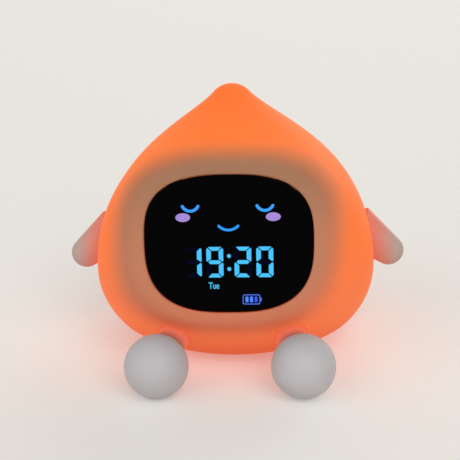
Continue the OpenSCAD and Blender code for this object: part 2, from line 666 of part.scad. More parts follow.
module base_tray() color([0.93, 0.93, 0.92]) difference() {
    union() {
        translate([0, base_back, 0]) {
            rotate_extrude() polygon(concat(
                [[hole_r - 9, floor_z], [hole_r - fit, floor_z], [hole_r - fit, seat_z]],
                tray_low, [tray_rim, tray_rim - [tray_wall, 0]],
                [for (i = [len(tray_low) - 1 : -1 : 1]) tray_low[i] + tray_wall * [-0.8, 0.6]],
                [[hole_r, floor_z + tray_wall], [hole_r - 9, floor_z + tray_wall]]));
            // bosses of the cover screws
            for (a = [30, 150, 270]) rotate(a) translate([cover_hole, 0, floor_z])
                cylinder(r = 2.4, h = 5);
        }
        // bosses of the frame screws, trimmed to the dish
        intersection() {
            for (h = frame_holes) translate([h.x, h.y, seat_z])
                cylinder(r = 3, h = tray_top - seat_z);
            translate([0, base_back, 0]) rotate_extrude() polygon(concat([[0, seat_z]],
                [for (p = concat(tray_low, [tray_rim])) p - [tray_wall / 2, 0]],
                [[0, tray_top]]));
        }
        // sockets of the legs
        for (s = [-1, 1]) along_leg(s) translate([0, 0, leg_l + 1.5 - socket_l])
            cylinder(r = leg_r + 2, h = socket_l);
    }
    for (s = [-1, 1]) along_leg(s) {
        translate([0, 0, foot_d / 2]) cylinder(r = leg_r + fit, h = leg_l - foot_d / 2 + fit);
        cylinder(r = screw_r + fit, h = leg_l + 10);
    }
    for (h = frame_holes) translate([h.x, h.y, tray_top - 8]) cylinder(r = screw_r + eps, h = 20);
    translate([0, base_back, 0]) for (a = [30, 150, 270]) rotate(a)
        translate([cover_hole, 0, floor_z - 1]) cylinder(r = screw_r + eps, h = 5);
}

// ---- bottom cover and pad ----

module bottom_cover() color([0.9, 0.9, 0.89]) translate([0, base_back, 0]) difference() {
    translate([0, 0, skin_lift]) cylinder(r = hole_r - fit, h = cover_t);
    // recess of the pad, then the screws and their sunk heads
    translate([0, 0, skin_lift - 1]) cylinder(r = pad_r + fit, h = 1 + pad_t - skin_lift);
    for (a = [30, 150, 270]) rotate(a) translate([cover_hole, 0, 0]) {
        cylinder(r = screw_r + fit, h = 9);
        cylinder(r = head_r + fit, h = pad_t + head_t + fit);
    }
}

module cover_screws() color([0.75, 0.75, 0.78]) translate([0, base_back, 0])
    for (a = [30, 150, 270]) rotate(a) translate([cover_hole, 0, pad_t + fit + head_t])
        mirror([0, 0, 1]) screw(4);

module base_pad() color([0.3, 0.3, 0.3])
    translate([0, base_back, 0]) cylinder(r = pad_r, h = pad_t);

// ---- cell ----

module battery_cell() color([0.2, 0.5, 0.75]) translate([0, 0, cell_z]) rotate([0, 90, 0]) union() {
    translate([0, 0, -cell_l / 2]) cylinder(r = cell_r, h = cell_l - 1.5);
    translate([0, 0, cell_l / 2 - 2]) cylinder(r = cell_r * 0.35, h = 2);
}

module battery_strap() color([0.85, 0.85, 0.83]) difference() {
    union() {
        translate([-strap_w / 2, 0, cell_z]) rotate([0, 90, 0])
            cylinder(r = cell_r + fit + strap_t, h = strap_w);
        block([-strap_w / 2, strap_w / 2], span(0, -cell_r - fit - strap_t, cell_r + fit + strap_t),
              [deck_top, cell_z]);
        block([-strap_w / 2, strap_w / 2], span(0, -strap_hole - 2.6, strap_hole + 2.6),
              [deck_top, deck_top + strap_t]);
    }
    translate([0, 0, cell_z]) rotate([0, 90, 0])
        cylinder(r = cell_r + fit, h = strap_w + 2, center = true);
    block([-strap_w, strap_w], [-cell_r - fit, cell_r + fit], [deck_top - 1, cell_z]);
    block([-strap_w, strap_w], [-30, 30], [0, deck_top]);
    for (s = [-1, 1]) translate([0, s * strap_hole, deck_top - 1])
        cylinder(r = screw_r + fit, h = 5);
}

module strap_screws() color([0.75, 0.75, 0.78]) for (s = [-1, 1])
    translate([0, s * strap_hole, deck_top + strap_t]) screw(3.6);

// ---- lamp ----

module lamp_board() color([0.93, 0.93, 0.95]) translate([0, 0, lamp_z]) difference() {
    cylinder(r = lamp_r, h = pcb_t);
    for (a = [90, 210, 330]) rotate(a) translate([lamp_r - 4, 0, -1])
        cylinder(r = screw_r + fit, h = pcb_t + 2);
}

module lamp_emitters() color([1, 0.9, 0.5]) translate([0, 0, lamp_z + pcb_t])
    for (i = [0 : lamp_count - 1]) rotate(360 * (i + 0.25) / lamp_count)
        translate([lamp_r - 9.6, -1.4, 0]) cube([3.5, 2.8, 1.9]);

module lamp_screws() color([0.75, 0.75, 0.78]) for (a = [90, 210, 330])
    rotate(a) translate([lamp_r - 4, 0, lamp_z + pcb_t]) screw(4.5);

module diffuser_dome() color([0.97, 0.97, 0.95]) translate([0, 0, bridge_top]) difference() {
    rotate_extrude() {
        intersection() {
            scale([1, dome_h / dome_r]) difference() {
                circle(dome_r);
                circle(dome_r - dome_t);
            }
            square([dome_r + 1, dome_h + 1]);
        }
    }
    // passage of the lamp lead
    translate([0, dome_r, -1]) cylinder(r = 3, h = 8);
}

// ---- rear panel and boards ----

module rear_panel() color([0.93, 0.92, 0.9]) difference() {
    union() {
        translate([0, 0, panel_z]) {
            slab(rim_y - eps, panel_y) polygon(panel_outline(0));
            slab(panel_back, rim_y) polygon(panel_outline(rim_w));
        }
        for (h = board_holes) rod_y(h.x, panel_z + h.y, 2.2, board_y, panel_back + eps);
        for (s = [-1, 1]) rod_y(s * panel_lug_x, panel_z, 2.6, panel_back - 1.2, panel_back + eps);
        // ring that the loudspeaker seats in
        difference() {
            rod_y(-speaker_x, panel_z, speaker_r + 1.2, panel_back - 1, panel_back + eps);
            rod_y(-speaker_x, panel_z, speaker_r + fit, panel_back - 3, panel_back - eps);
        }
    }
    for (x = button_x, z = button_z) rod_y(x, z, button_r + fit, panel_back - 1, panel_y + 1);
    // sound holes on a hexagonal pattern
    for (u = [-2 : 2], v = [-2 : 2]) if (abs(u + v) <= 2)
        rod_y(-speaker_x + 3.2 * (u + v / 2), panel_z + 3.2 * v * sin(60), 0.8, panel_back - 1, panel_y + 1);
    // slot of the power switch and opening of the charging socket
    translate([port_x, 0, knob_z + knob_travel / 2]) slab(panel_back - 1, panel_y + 1)
        rounded(knob_w + 2 * fit, knob_l + knob_travel + 2 * fit, 0.4);
    translate([port_x, 0, usb_z]) slab(panel_back - 1, panel_y + 1)
        rounded(usb_h + 2 * fit, usb_w + 2 * fit, 1.6);
    for (h = board_holes) rod_y(h.x, panel_z + h.y, screw_r + eps, board_y - 1, panel_back - 0.5);
    for (s = [-1, 1]) rod_y(s * panel_lug_x, panel_z, screw_r + eps, panel_back - 3, panel_back + 1.4);
}

module main_pcb() color([0.05, 0.3, 0.15]) difference() {
    union() {
        translate([-0.75, 0, panel_z]) slab(board_y - pcb_t, board_y) rounded(panel_w + 1.5, panel_h, 3);
        // clock chip, ribbon socket and lead socket on the inner side
        block([-14, -4], span(board_y - pcb_t, -1.4, eps), span(panel_z, -3, 7));
        block([-8, 8], span(board_y - pcb_t, -2.4, eps), span(ribbon_z[1], -2, 2));
        block([6, 14], span(board_y - pcb_t, -4, eps), span(panel_z, -2, 3));
    }
    for (h = board_holes) rod_y(h.x, panel_z + h.y, screw_r + fit, board_y - pcb_t - 1, board_y + 1);
    for (s = [-1, 1]) rod_y(s * (panel_lug_x - 1), panel_z, 4, board_y - pcb_t - 1, board_y + 1);
}

module pcb_screws() color([0.75, 0.75, 0.78]) for (h = board_holes)
    translate([h.x, board_y - pcb_t, panel_z + h.y]) facing(-1) screw(7);

module tact_switches() color([0.15, 0.15, 0.16]) for (x = button_x, z = button_z) {
    block(span(x, -3, 3), span(board_y, 0, tact_t), span(z, -3, 3));
    rod_y(x, z, 1.75, board_y + tact_t - eps, board_y + tact_t + plunger_t);
}

module slide_switch() color([0.7, 0.7, 0.72])
    block(span(port_x, -2, 2), span(board_y, 0, 3.5), span(knob_z + knob_travel / 2, -4.3, 4.3));

module usb_socket() color([0.75, 0.76, 0.78]) translate([port_x, 0, usb_z]) difference() {
    slab(board_y, panel_y - 0.3) rounded(usb_h, usb_w, usb_h / 2 - 0.02);
    difference() {
        slab(panel_y - 6.8, panel_y + 1) rounded(usb_h - 0.6, usb_w - 0.6, usb_h / 2 - 0.33);
        slab(panel_y - 7, panel_y - 1.2) square([0.7, usb_w - 2.4], center = true);
    }
}

module tap_sensor() color([0.8, 0.7, 0.4])
    rod_y(20.5, panel_z + 2, 2.6, board_y - pcb_t - 9, board_y - pcb_t);

module speaker() color([0.25, 0.25, 0.27]) union() {
    rod_y(-speaker_x, panel_z, speaker_r, panel_back - 1.6, panel_back - 0.2);
    rod_y(-speaker_x, panel_z, speaker_r * 0.75, panel_back - speaker_t, panel_back - 1.5);
}

// ---- buttons ----

// A round cap with a retaining collar behind the panel and a stem to the switch.
module button(x, z) {
    difference() {
        rod_y(x, z, button_r, panel_back - 0.2, panel_y + button_out);
        translate([x, panel_y + button_out + 8.6, z]) sphere(9);
    }
    rod_y(x, z, button_r + 0.9, panel_back - 1.2, panel_back - 0.2);
    rod_y(x, z, 1.5, stem_y, panel_back - 1);
}
module button_set() color([0.98, 0.75, 0.6]) button(button_x[0], button_z[1]);
module button_up() color([0.98, 0.75, 0.6]) button(button_x[1], button_z[1]);
module button_down() color([0.98, 0.75, 0.6]) button(button_x[1], button_z[0]);
module button_light() color([0.98, 0.75, 0.6]) button(button_x[0], button_z[0]);

module power_knob() color([0.2, 0.2, 0.22]) difference() {
    union() {
        block(span(port_x, -knob_w / 2, knob_w / 2), [panel_back - 0.4, panel_y + 0.9],
              span(knob_z, -knob_l / 2, knob_l / 2));
        block(span(port_x, -2.2, 2.2), span(panel_back, -1.2, -0.2), span(knob_z, -4, 4));
        block(span(port_x, -0.8, 0.8), [board_y + 3.7, panel_back - 1], span(knob_z, -1, 1));
    }
    for (z = [-1, 0, 1]) block(span(port_x, -2, 2), span(panel_y, 0.5, 2),
                               span(knob_z + z * 1.2, -0.25, 0.25));
}

// ---- leads ----

module battery_lead() color([0.75, 0.1, 0.1]) for (s = [-1, 1])
    lead([s * 31.2, cell_r * 0.5, cell_z + cell_r * 0.87 + 0.7], [s * 31, 18, cell_z + 14],
         [10 + s * 1.2, 20, panel_z + 0.5],
         [10 + s * 1.2, board_y - pcb_t - 4 - 2 * fit, panel_z + 0.5]);

module speaker_lead() color([0.15, 0.15, 0.15]) for (s = [0, 1])
    lead([-speaker_x - 2 + 2 * s, panel_back - speaker_t - fit, panel_z + 6],
         [-speaker_x - 2 + 2 * s, panel_back - speaker_t - 1.6, panel_z + 6],
         [-speaker_x - 2 + 2 * s, board_y + 1.4, panel_z + 7],
         [-speaker_x - 2 + 2 * s, board_y + fit, panel_z + 7], r = 0.5, rings = 6);

module lamp_lead() color([0.9, 0.85, 0.2]) for (s = [-1, 1])
    lead([s, lamp_r - 1.8, lamp_z + pcb_t + 0.6], [s, dome_r + 3.5, lamp_z + pcb_t + 1],
         [10 + s * 0.8, 26, bridge_z - 2], [12 + s * 0.8, board_y - pcb_t - 3.4, panel_z + 3.6],
         r = 0.55);

// Flat ribbon between the display board and the main board, passing under the bridge.
module display_ribbon() color([0.9, 0.9, 0.88]) {
    a = [(-box_back + 3.8) + (ribbon_z[0] - lens_z) * tan(lens_tilt), ribbon_z[0] + 1];
    d = [board_y - pcb_t - 2.4, ribbon_z[1]];
    t = 0.25;
    path = [for (i = [0 : 16]) bezier(a, a + [14, 0], d - [16, 0], d, i / 16)];
    translate([-6, 0, 0]) rotate([90, 0, 90]) linear_extrude(12)
        polygon(concat([for (p = path) p + [0, t / 2]],
                       [for (i = [16 : -1 : 0]) path[i] - [0, t / 2]]));
}

silicone_skin();
arm_left();
arm_right();
foot_left();
foot_right();
display_lens();
lens_gasket();
display_housing();
display_module();
display_pcb();
display_screws();
core_frame();
housing_screws();
base_tray();
frame_screws();
bottom_cover();
cover_screws();
base_pad();
battery_cell();
battery_strap();
strap_screws();
lamp_board();
lamp_emitters();
lamp_screws();
diffuser_dome();
main_pcb();
pcb_screws();
tact_switches();
slide_switch();
usb_socket();
tap_sensor();
leg_screws();
rear_panel();
panel_screws();
speaker();
button_set();
button_up();
button_down();
button_light();
power_knob();
battery_lead();
speaker_lead();
lamp_lead();
display_ribbon();
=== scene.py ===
# Looks of a drop-shaped bedside alarm clock with a night light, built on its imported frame.
# Metres. The display faces -Y, +X is the reader's right, +Z is up, the table is z = 0.
import math

import bpy
import numpy as np
from mathutils import Matrix, Vector


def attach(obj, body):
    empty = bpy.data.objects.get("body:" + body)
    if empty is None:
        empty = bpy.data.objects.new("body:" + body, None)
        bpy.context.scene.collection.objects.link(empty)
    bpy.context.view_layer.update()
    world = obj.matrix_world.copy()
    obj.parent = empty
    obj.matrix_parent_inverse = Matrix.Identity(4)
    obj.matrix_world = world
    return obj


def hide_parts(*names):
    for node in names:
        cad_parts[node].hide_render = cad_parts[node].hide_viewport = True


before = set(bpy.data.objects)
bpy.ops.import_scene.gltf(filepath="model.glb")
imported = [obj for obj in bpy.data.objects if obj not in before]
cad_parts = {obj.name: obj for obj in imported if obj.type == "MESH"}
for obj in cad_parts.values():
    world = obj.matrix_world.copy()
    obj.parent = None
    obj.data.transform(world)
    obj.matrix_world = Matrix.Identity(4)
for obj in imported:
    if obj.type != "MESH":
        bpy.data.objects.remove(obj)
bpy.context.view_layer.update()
scene = bpy.context.scene
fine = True

# ---- camera, table and studio light ----
# The clock stands on a pale table in plain soft light. The camera looks down on it a little,
# from slightly right of its middle, and leans a little to one side.
MM = 0.001
ELEVATION, YAW, ROLL_ANGLE = math.radians(16.6), math.radians(3.9), math.radians(-1.7)
DISTANCE, FOCAL_LENGTH, SENSOR = 0.407, 78.3, 36
target = Vector((-0.0022, 0, 0.0467))
toward = Vector((math.sin(YAW) * math.cos(ELEVATION), -math.cos(YAW) * math.cos(ELEVATION),
                 math.sin(ELEVATION)))
camera = bpy.data.objects.new("camera", bpy.data.cameras.new("camera"))
camera.data.sensor_width = SENSOR
camera.data.lens = FOCAL_LENGTH
camera.matrix_world = (Matrix.Translation(target + DISTANCE * toward)
                       @ toward.to_track_quat("Z", "Y").to_matrix().to_4x4()
                       @ Matrix.Rotation(ROLL_ANGLE, 4, "Z"))
scene.collection.objects.link(camera)
scene.camera = camera
scene.view_settings.view_transform = "Standard"


class Reading:
    """A number that a node puts out, so that a formula over it can be written as a formula."""

    def __init__(self, socket):
        self.socket = socket

    def __add__(self, other):
        return calculate("ADD", self, other)

    def __sub__(self, other):
        return calculate("SUBTRACT", self, other)

    def __rsub__(self, other):
        return calculate("SUBTRACT", other, self)

    def __mul__(self, other):
        return calculate("MULTIPLY", self, other)

    def __truediv__(self, other):
        return calculate("DIVIDE", self, other)

    def __pow__(self, other):
        return calculate("POWER", self, other)

    def __abs__(self):
        return calculate("ABSOLUTE", self)


def add_node(tree, kind, values=(), **settings):
    """A node with its settings and its inputs, given as values, readings or sockets."""
    node = tree.nodes.new(kind)
    for key, value in settings.items():
        setattr(node, key, value)
    for key, value in dict(values).items():
        value = getattr(value, "socket", value)
        if isinstance(value, bpy.types.NodeSocket):
            tree.links.new(value, node.inputs[key])
        else:
            node.inputs[key].default_value = value
    return node


def calculate(operation, *numbers, clamp=False):
    """A math node over numbers and readings, at least one of them a reading."""
    tree = next(n.socket.id_data for n in numbers if isinstance(n, Reading))
    node = add_node(tree, "ShaderNodeMath", enumerate(numbers), operation=operation,
                    use_clamp=clamp)
    return Reading(node.outputs[0])


def connect(source, target):
    """Feeds a reading or a socket into an input."""
    target.id_data.links.new(getattr(source, "socket", source), target)


def linear(*screen):
    """Scene colour of a screen colour given in 0-255."""
    return tuple((c / 12.92 if c <= 0.04045 else ((c + 0.055) / 1.055) ** 2.4)
                 for c in (channel / 255 for channel in screen))


def new_material(name, **values):
    """A principled material with its inputs set; returns it, its node tree and its shader."""
    material = bpy.data.materials.new(name)
    material.use_nodes = True
    shader = material.node_tree.nodes["Principled BSDF"]
    for key, value in values.items():
        value = (*value, 1) if key.endswith("Color") else value
        shader.inputs[key.replace("_", " ")].default_value = value
    return material, material.node_tree, shader


def seen_directly(tree):
    """1 for what the camera sees, also in a reflection or through something clear."""
    path = tree.nodes.new("ShaderNodeLightPath").outputs
    camera_ray, glossy_ray, clear_ray = (
        Reading(path[f"Is {kind} Ray"]) for kind in ("Camera", "Glossy", "Transmission"))
    return calculate("ADD", camera_ray, glossy_ray + clear_ray, clamp=True)


def add_mesh(name, points_mm, faces, smooth=True):
    """A mesh object from points in millimetres."""
    mesh = bpy.data.meshes.new(name)
    mesh.from_pydata([tuple(p) for p in np.asarray(points_mm, float) * MM], [], faces)
    mesh.validate()
    mesh.polygons.foreach_set("use_smooth", [smooth] * len(mesh.polygons))
    obj = bpy.data.objects.new(name, mesh)
    scene.collection.objects.link(obj)
    return obj


FLOOR_HALF, FLOOR_Z, FLOOR_COLOUR, FLOOR_SHOWN = 9000, -0.05, linear(236, 234, 230), 0.26
floor = add_mesh("floor", [(x * FLOOR_HALF, y * FLOOR_HALF, FLOOR_Z) for x, y in
                           ((-1, -1), (1, -1), (1, 1), (-1, 1))], [(0, 1, 2, 3)])
floor_material, tree, shader = new_material(
    "pale table", Roughness=0.8, Specular_IOR_Level=0.1, Base_Color=FLOOR_COLOUR,
    Emission_Color=FLOOR_COLOUR)
connect(seen_directly(tree) * FLOOR_SHOWN, shader.inputs["Emission Strength"])
# the table can be looked through from below
from_below = Reading(tree.nodes.new("ShaderNodeNewGeometry").outputs["Backfacing"])
connect(1.0 - from_below, shader.inputs["Alpha"])
floor.data.materials.append(floor_material)

for name, place, spread, power, tint in (
        ("key", (0.45, -1.0, 0.75), 45, 1.1, (1, 0.99, 0.98)),
        ("fill", (-0.8, -0.7, 0.45), 60, 0.6, (0.98, 0.98, 1)),
        ("back", (0.35, 1.0, 0.35), 60, 0.8, (1, 0.99, 0.98))):
    light = bpy.data.objects.new(name, bpy.data.lights.new(name, "SUN"))
    light.data.angle = math.radians(spread)
    light.data.energy = power
    light.data.color = tint
    light.matrix_world = (Matrix.Translation(place)
                          @ Vector(place).to_track_quat("Z", "Y").to_matrix().to_4x4())
    scene.collection.objects.link(light)
SKY_LIGHT, SKY_SHOWN = 0.39, 0.59
world = bpy.data.worlds.new("studio")
world.use_nodes = True
sky = world.node_tree.nodes["Background"].inputs
sky["Color"].default_value = (*linear(236, 234, 229), 1)
connect(seen_directly(world.node_tree) * SKY_SHOWN + SKY_LIGHT, sky["Strength"])
scene.world = world

# ---- inner frame, tray, cover, strap and lamp plate ----
# The carcass is moulded in white plastic: a frame that stands in a round tray, the cover under
# the tray, the strap over the cell and the lamp's plate. Fine spark grain covers them all.


def new_effect(name, **sizes):
    """A shader node group that takes a colour and puts out colour, roughness and height."""
    group = bpy.data.node_groups.new(name, "ShaderNodeTree")
    group.interface.new_socket("Color", in_out="INPUT", socket_type="NodeSocketColor")
    for label, value in sizes.items():
        group.interface.new_socket(label, in_out="INPUT",
                                   socket_type="NodeSocketFloat").default_value = value
    for label, kind in (("Color", "NodeSocketColor"), ("Roughness", "NodeSocketFloat"),
                        ("Height", "NodeSocketFloat")):
        group.interface.new_socket(label, in_out="OUTPUT", socket_type=kind)
    given = {socket.name: Reading(socket) for socket in
             group.nodes.new("NodeGroupInput").outputs}
    return group, given, group.nodes.new("NodeGroupOutput").inputs


def finish_effect(group, given, result, swing, height):
    """Lets a swing round 0 vary the colour and the roughness, and puts out the height."""
    shade = add_node(group, "ShaderNodeVectorMath", {0: given["Color"], "Scale": swing + 1.0},
                     operation="SCALE")
    connect(shade.outputs[0], result["Color"])
    connect(calculate("ADD", given["Roughness"], swing, clamp=True), result["Roughness"])
    connect(height, result["Height"])


def noise(tree, place, scale, detail=3.0):
    return Reading(add_node(tree, "ShaderNodeTexNoise", {
        "Vector": place, "Scale": scale, "Detail": detail}).outputs["Fac"])


def object_place(tree):
    return tree.nodes.new("ShaderNodeTexCoord").outputs["Object"]


# moulded grain: a fine spark texture over a slow, faint mottling
COARSER, SWING_PER_MOTTLE = 0.08, 4.0
moulded_grain, given, result = new_effect("Moulded grain", Roughness=0.5, Scale=900.0, Mottle=0.04)
place = object_place(moulded_grain)
slow = noise(moulded_grain, place, given["Scale"] * COARSER) - 0.5
finish_effect(moulded_grain, given, result, slow * (given["Mottle"] * SWING_PER_MOTTLE),
              noise(moulded_grain, place, given["Scale"]))


def apply_effect(effect, tree, shader, depth, **sizes):
    """Runs a shader's colour and roughness through an effect, whose height makes its bump."""
    colour = shader.inputs["Base Color"]
    node = add_node(tree, "ShaderNodeGroup", node_tree=effect)
    if colour.is_linked:
        connect(colour.links[0].from_socket, node.inputs["Color"])
    else:
        node.inputs["Color"].default_value = colour.default_value
    node.inputs["Roughness"].default_value = shader.inputs["Roughness"].default_value
    for label, value in sizes.items():
        node.inputs[label].default_value = value
    bump = add_node(tree, "ShaderNodeBump", {"Height": node.outputs["Height"],
                                             "Distance": depth, "Strength": 0.4})
    connect(node.outputs["Color"], colour)
    connect(node.outputs["Roughness"], shader.inputs["Roughness"])
    connect(bump.outputs[0], shader.inputs["Normal"])


def moulded(name, colour, roughness, scale, depth, effect=moulded_grain, metallic=0.0):
    """A material of one colour under an effect at its own scale and depth."""
    material, tree, shader = new_material(name, Roughness=roughness, Metallic=metallic,
                                          Base_Color=colour)
    apply_effect(effect, tree, shader, depth, Scale=scale)
    return material


def dress(material, *names):
    """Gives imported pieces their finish."""
    for name in names:
        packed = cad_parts[name].data
        packed.materials.clear()
        packed.materials.append(material)


dress(moulded("white carcass plastic", (0.72, 0.71, 0.69), 0.45, 1500, 0.00004),
      "core_frame", "base_tray", "bottom_cover", "battery_strap", "lamp_board")

# ---- screws and switch can ----
# Zinc-plated pan-head screws and the slide switch's folded can are bare metal, with fine
# scratches along them from tumbling and rolling.
GRAIN_STRETCH, METAL_SWING = 0.06, 0.3
brushed_metal, given, result = new_effect("Brushed metal", Roughness=0.3, Scale=2500.0)
drawn_out = add_node(brushed_metal, "ShaderNodeMapping", {
    "Vector": object_place(brushed_metal), "Scale": (1, GRAIN_STRETCH, 1)})
streaks = noise(brushed_metal, drawn_out.outputs[0], given["Scale"], 4.0)
finish_effect(brushed_metal, given, result, (streaks - 0.5) * METAL_SWING, streaks)
dress(moulded("zinc plated steel", (0.62, 0.62, 0.63), 0.3, 2500, 0.00002, brushed_metal, 1.0),
      "display_screws", "housing_screws", "frame_screws", "leg_screws", "cover_screws",
      "strap_screws", "lamp_screws", "pcb_screws", "panel_screws")
dress(moulded("plated can", (0.68, 0.68, 0.7), 0.26, 3000, 0.000002, brushed_metal, 1.0),
      "slide_switch")

# ---- cell and lamp ----
# The cell has a blue shrink sleeve that stops short of its bare steel ends. The lamp is a ring
# of emitters with yellow phosphor under a milky dome, which would spread their light in the
# body; here they give no light, and the body's glow is painted on the skin.
SLEEVE_EDGE, SLEEVE_BLUE, BARE_STEEL = (31.6, 31.8), (0.03, 0.12, 0.35), (0.6, 0.6, 0.6)


def smooth_step(value, span, unit=1.0):
    """0 below a span, 1 above it, eased between."""
    low, high = (edge * unit for edge in span)
    step = add_node(value.socket.id_data, "ShaderNodeMapRange", {
        "Value": value, "From Min": low, "From Max": high}, interpolation_type="SMOOTHSTEP")
    return Reading(step.outputs["Result"])


def blend(shader, part, factor, a, b):
    """Gives a shader's input a blend of two colours, given as sockets or (r, g, b)."""
    ends = [value if isinstance(value, bpy.types.NodeSocket) else (*value, 1) for value in (a, b)]
    mixed = add_node(shader.id_data, "ShaderNodeMix", {0: factor, 6: ends[0], 7: ends[1]},
                     data_type="RGBA")
    connect(mixed.outputs[2], shader.inputs[part])


def axes_of(tree, vector):
    """The x, y and z of a vector, as readings."""
    split = add_node(tree, "ShaderNodeSeparateXYZ", {0: vector})
    return [Reading(socket) for socket in split.outputs]


sleeve, tree, shader = new_material("shrink sleeve", Roughness=0.32)
x, y, z = axes_of(tree, object_place(tree))
bare_end = smooth_step(abs(x), SLEEVE_EDGE, MM)
blend(shader, "Base Color", bare_end, SLEEVE_BLUE, BARE_STEEL)
connect(bare_end, shader.inputs["Metallic"])
apply_effect(moulded_grain, tree, shader, 0.00003, Scale=400)
dress(sleeve, "battery_cell")
dress(moulded("yellow phosphor", (0.85, 0.65, 0.12), 0.3, 900, 0.00001), "lamp_emitters")
dress(moulded("milky diffuser", (0.85, 0.85, 0.82), 0.5, 1500, 0.00003), "diffuser_dome")

# ---- boards and what is soldered to them ----
# Green boards with copper tracks that show through the mask as a paler green. The key
# switches are black moulded cans, and the tap sensor is a small brass can.
TRACK_PITCH, TRACK_WIDTH, TRACK_LENGTH = 2.4, 0.35, 3.2
MASK_GREEN, TRACK_GREEN = (0.012, 0.13, 0.05), (0.03, 0.24, 0.09)
BLACK, WHITE = (0, 0, 0), (1, 1, 1)


def combine(tree, x=0.0, y=0.0, z=0.0):
    return add_node(tree, "ShaderNodeCombineXYZ", enumerate((x, y, z))).outputs[0]


mask, tree, shader = new_material("green solder mask", Roughness=0.35)
x, y, z = axes_of(tree, object_place(tree))
tracks = add_node(tree, "ShaderNodeTexBrick", {
    "Vector": combine(tree, x, z), "Scale": 1 / (TRACK_PITCH * MM),
    "Mortar Size": TRACK_WIDTH / TRACK_PITCH / 2, "Color1": (*BLACK, 1),
    "Color2": (*BLACK, 1), "Mortar": (*WHITE, 1), "Brick Width": TRACK_LENGTH,
    "Row Height": 1.0})
blend(shader, "Base Color", tracks.outputs["Color"], MASK_GREEN, TRACK_GREEN)
apply_effect(moulded_grain, tree, shader, 0.00001, Scale=800)
dress(mask, "display_pcb", "main_pcb")
dress(moulded("black switch body", (0.02, 0.02, 0.022), 0.4, 1500, 0.00002), "tact_switches")
dress(moulded("sensor brass", (0.62, 0.42, 0.14), 0.35, 1800, 0.00001, brushed_metal, 1.0),
      "tap_sensor")

# ---- leads and ribbon ----
# Short soft leads in coloured sleeves join the cell, the speaker and the lamp to the board,
# and a flat white ribbon with fine conductors joins it to the display.
for name, colour in (("battery_lead", (0.45, 0.02, 0.02)), ("speaker_lead", (0.02, 0.02, 0.02)),
                     ("lamp_lead", (0.7, 0.5, 0.05))):
    dress(moulded(name.replace("_", " "), colour, 0.5, 1500, 0.00002), name)
CONDUCTOR_PITCH, CONDUCTOR_EDGE = 1.0, (0.2, 0.6)
RIBBON_WHITE, CONDUCTOR_TINT = (0.72, 0.72, 0.68), (0.5, 0.42, 0.3)
ribbon, tree, shader = new_material("ribbon", Roughness=0.4)
x, y, z = axes_of(tree, object_place(tree))
stripe = calculate("SINE", x * (2 * math.pi / (CONDUCTOR_PITCH * MM)))
blend(shader, "Base Color", smooth_step(stripe, CONDUCTOR_EDGE), RIBBON_WHITE, CONDUCTOR_TINT)
apply_effect(moulded_grain, tree, shader, 0.00001, Scale=1500)
dress(ribbon, "display_ribbon")

# ---- display carrier, segment block and foam ----
# A black carrier holds the white segment block; the shade it throws on the skin round the
# window is painted into the skin's material. A ring of open-cell foam tape under the window's
# edge keeps the light in.
FOAM_CELL, FOAM_PORE_PAINTED_SHADE, FOAM_WEB = 0.5, (0.003, 0.003, 0.003), (0.02, 0.02, 0.02)
dress(moulded("black carrier plastic", (0.02, 0.02, 0.022), 0.55, 1200, 0.00004),
      "display_housing")
dress(moulded("white segment block", (0.75, 0.75, 0.73), 0.5, 1200, 0.00003), "display_module")
foam, tree, shader = new_material("foam tape", Roughness=0.9)
cells = add_node(tree, "ShaderNodeTexVoronoi", {
    "Vector": object_place(tree), "Scale": 1 / (FOAM_CELL * MM)})
# the pores are painted darker than the web, as painted shade in them
blend(shader, "Base Color", cells.outputs["Distance"], FOAM_PORE_PAINTED_SHADE, FOAM_WEB)
apply_effect(moulded_grain, tree, shader, 0.00008, Scale=1400)
dress(foam, "lens_gasket")

# ---- silicone skin ----
# The body is one drop of soft translucent silicone, stretched over the frame and held at its
# openings for the window, the panel, the legs and the base, whose lips are rolled inwards. It
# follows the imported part's formulas on a finer grid.
BODY_R, BODY_H, BELLY_Z, BASE_R, BASE_BACK = 55.5, 106.4, 35, 21, 8
FRONT_D, BACK_D, FRONT_N, BACK_N, FOREHEAD = 46, 49.5, 2.7, 2.8, 0.2
TIP_R, TIP_A, BELLY_PULL, FLANK_PULL, SKIN_LIFT = 9.5, math.radians(48), 42, 14, 0.6
LENS_W, LENS_UP, LENS_DOWN, LENS_Z, LENS_N = 61.8, 23.7, 26.9, 55.6, 2.77
LENS_Y, LENS_TILT, LIP_H = 42.3, math.radians(9), 0.6
LEAN_COS, LEAN_SIN = math.cos(LENS_TILT), math.sin(LENS_TILT)
PANEL_W, PANEL_H, PANEL_Z, PANEL_N, PANEL_LIP_Y = 56, 28, 38, 4, 44
FOOT_R, FOOT_X, FOOT_Y, LEG_R, LEG_L = 11.8, 26.8, 56, 6.1, 36
LEG_IN, LEG_RISE = math.radians(13), math.radians(10)
FIT, ROLL, LIP_DEPTH, INNER_WALL, HOLE_R = 0.2, 0.7, 1.6, 0.6, 19
SQUARE_BELOW, SQUARE_ABOVE, SEAT_FROM, SEAT_EASE, SEAT_BORDER = 14, 10, 1.06, 0.4, 5.4


def ease(t):
    c = np.clip(t, 0, 1)
    return c * c * (3 - 2 * c)


def soft_min(a, b):
    return (np.maximum(a, 0.01) ** -8.0 + b ** -8.0) ** (-1 / 8)


def rounded(x, z, half_x, half_z, power):
    """1 on a rounded rectangle's outline, less inside it and more outside."""
    return ((np.abs(x) / half_x) ** power + (np.abs(z) / half_z) ** power) ** (1 / power)


def lens_norm(x, z, grow=0.0):
    half = np.where(z > 0, LENS_UP, LENS_DOWN) + grow
    return rounded(x, z, LENS_W / 2 + grow, half, LENS_N)


def panel_norm(x, z, grow=0.0):
    return rounded(x, z, PANEL_W / 2 + grow, PANEL_H / 2 + grow, PANEL_N)


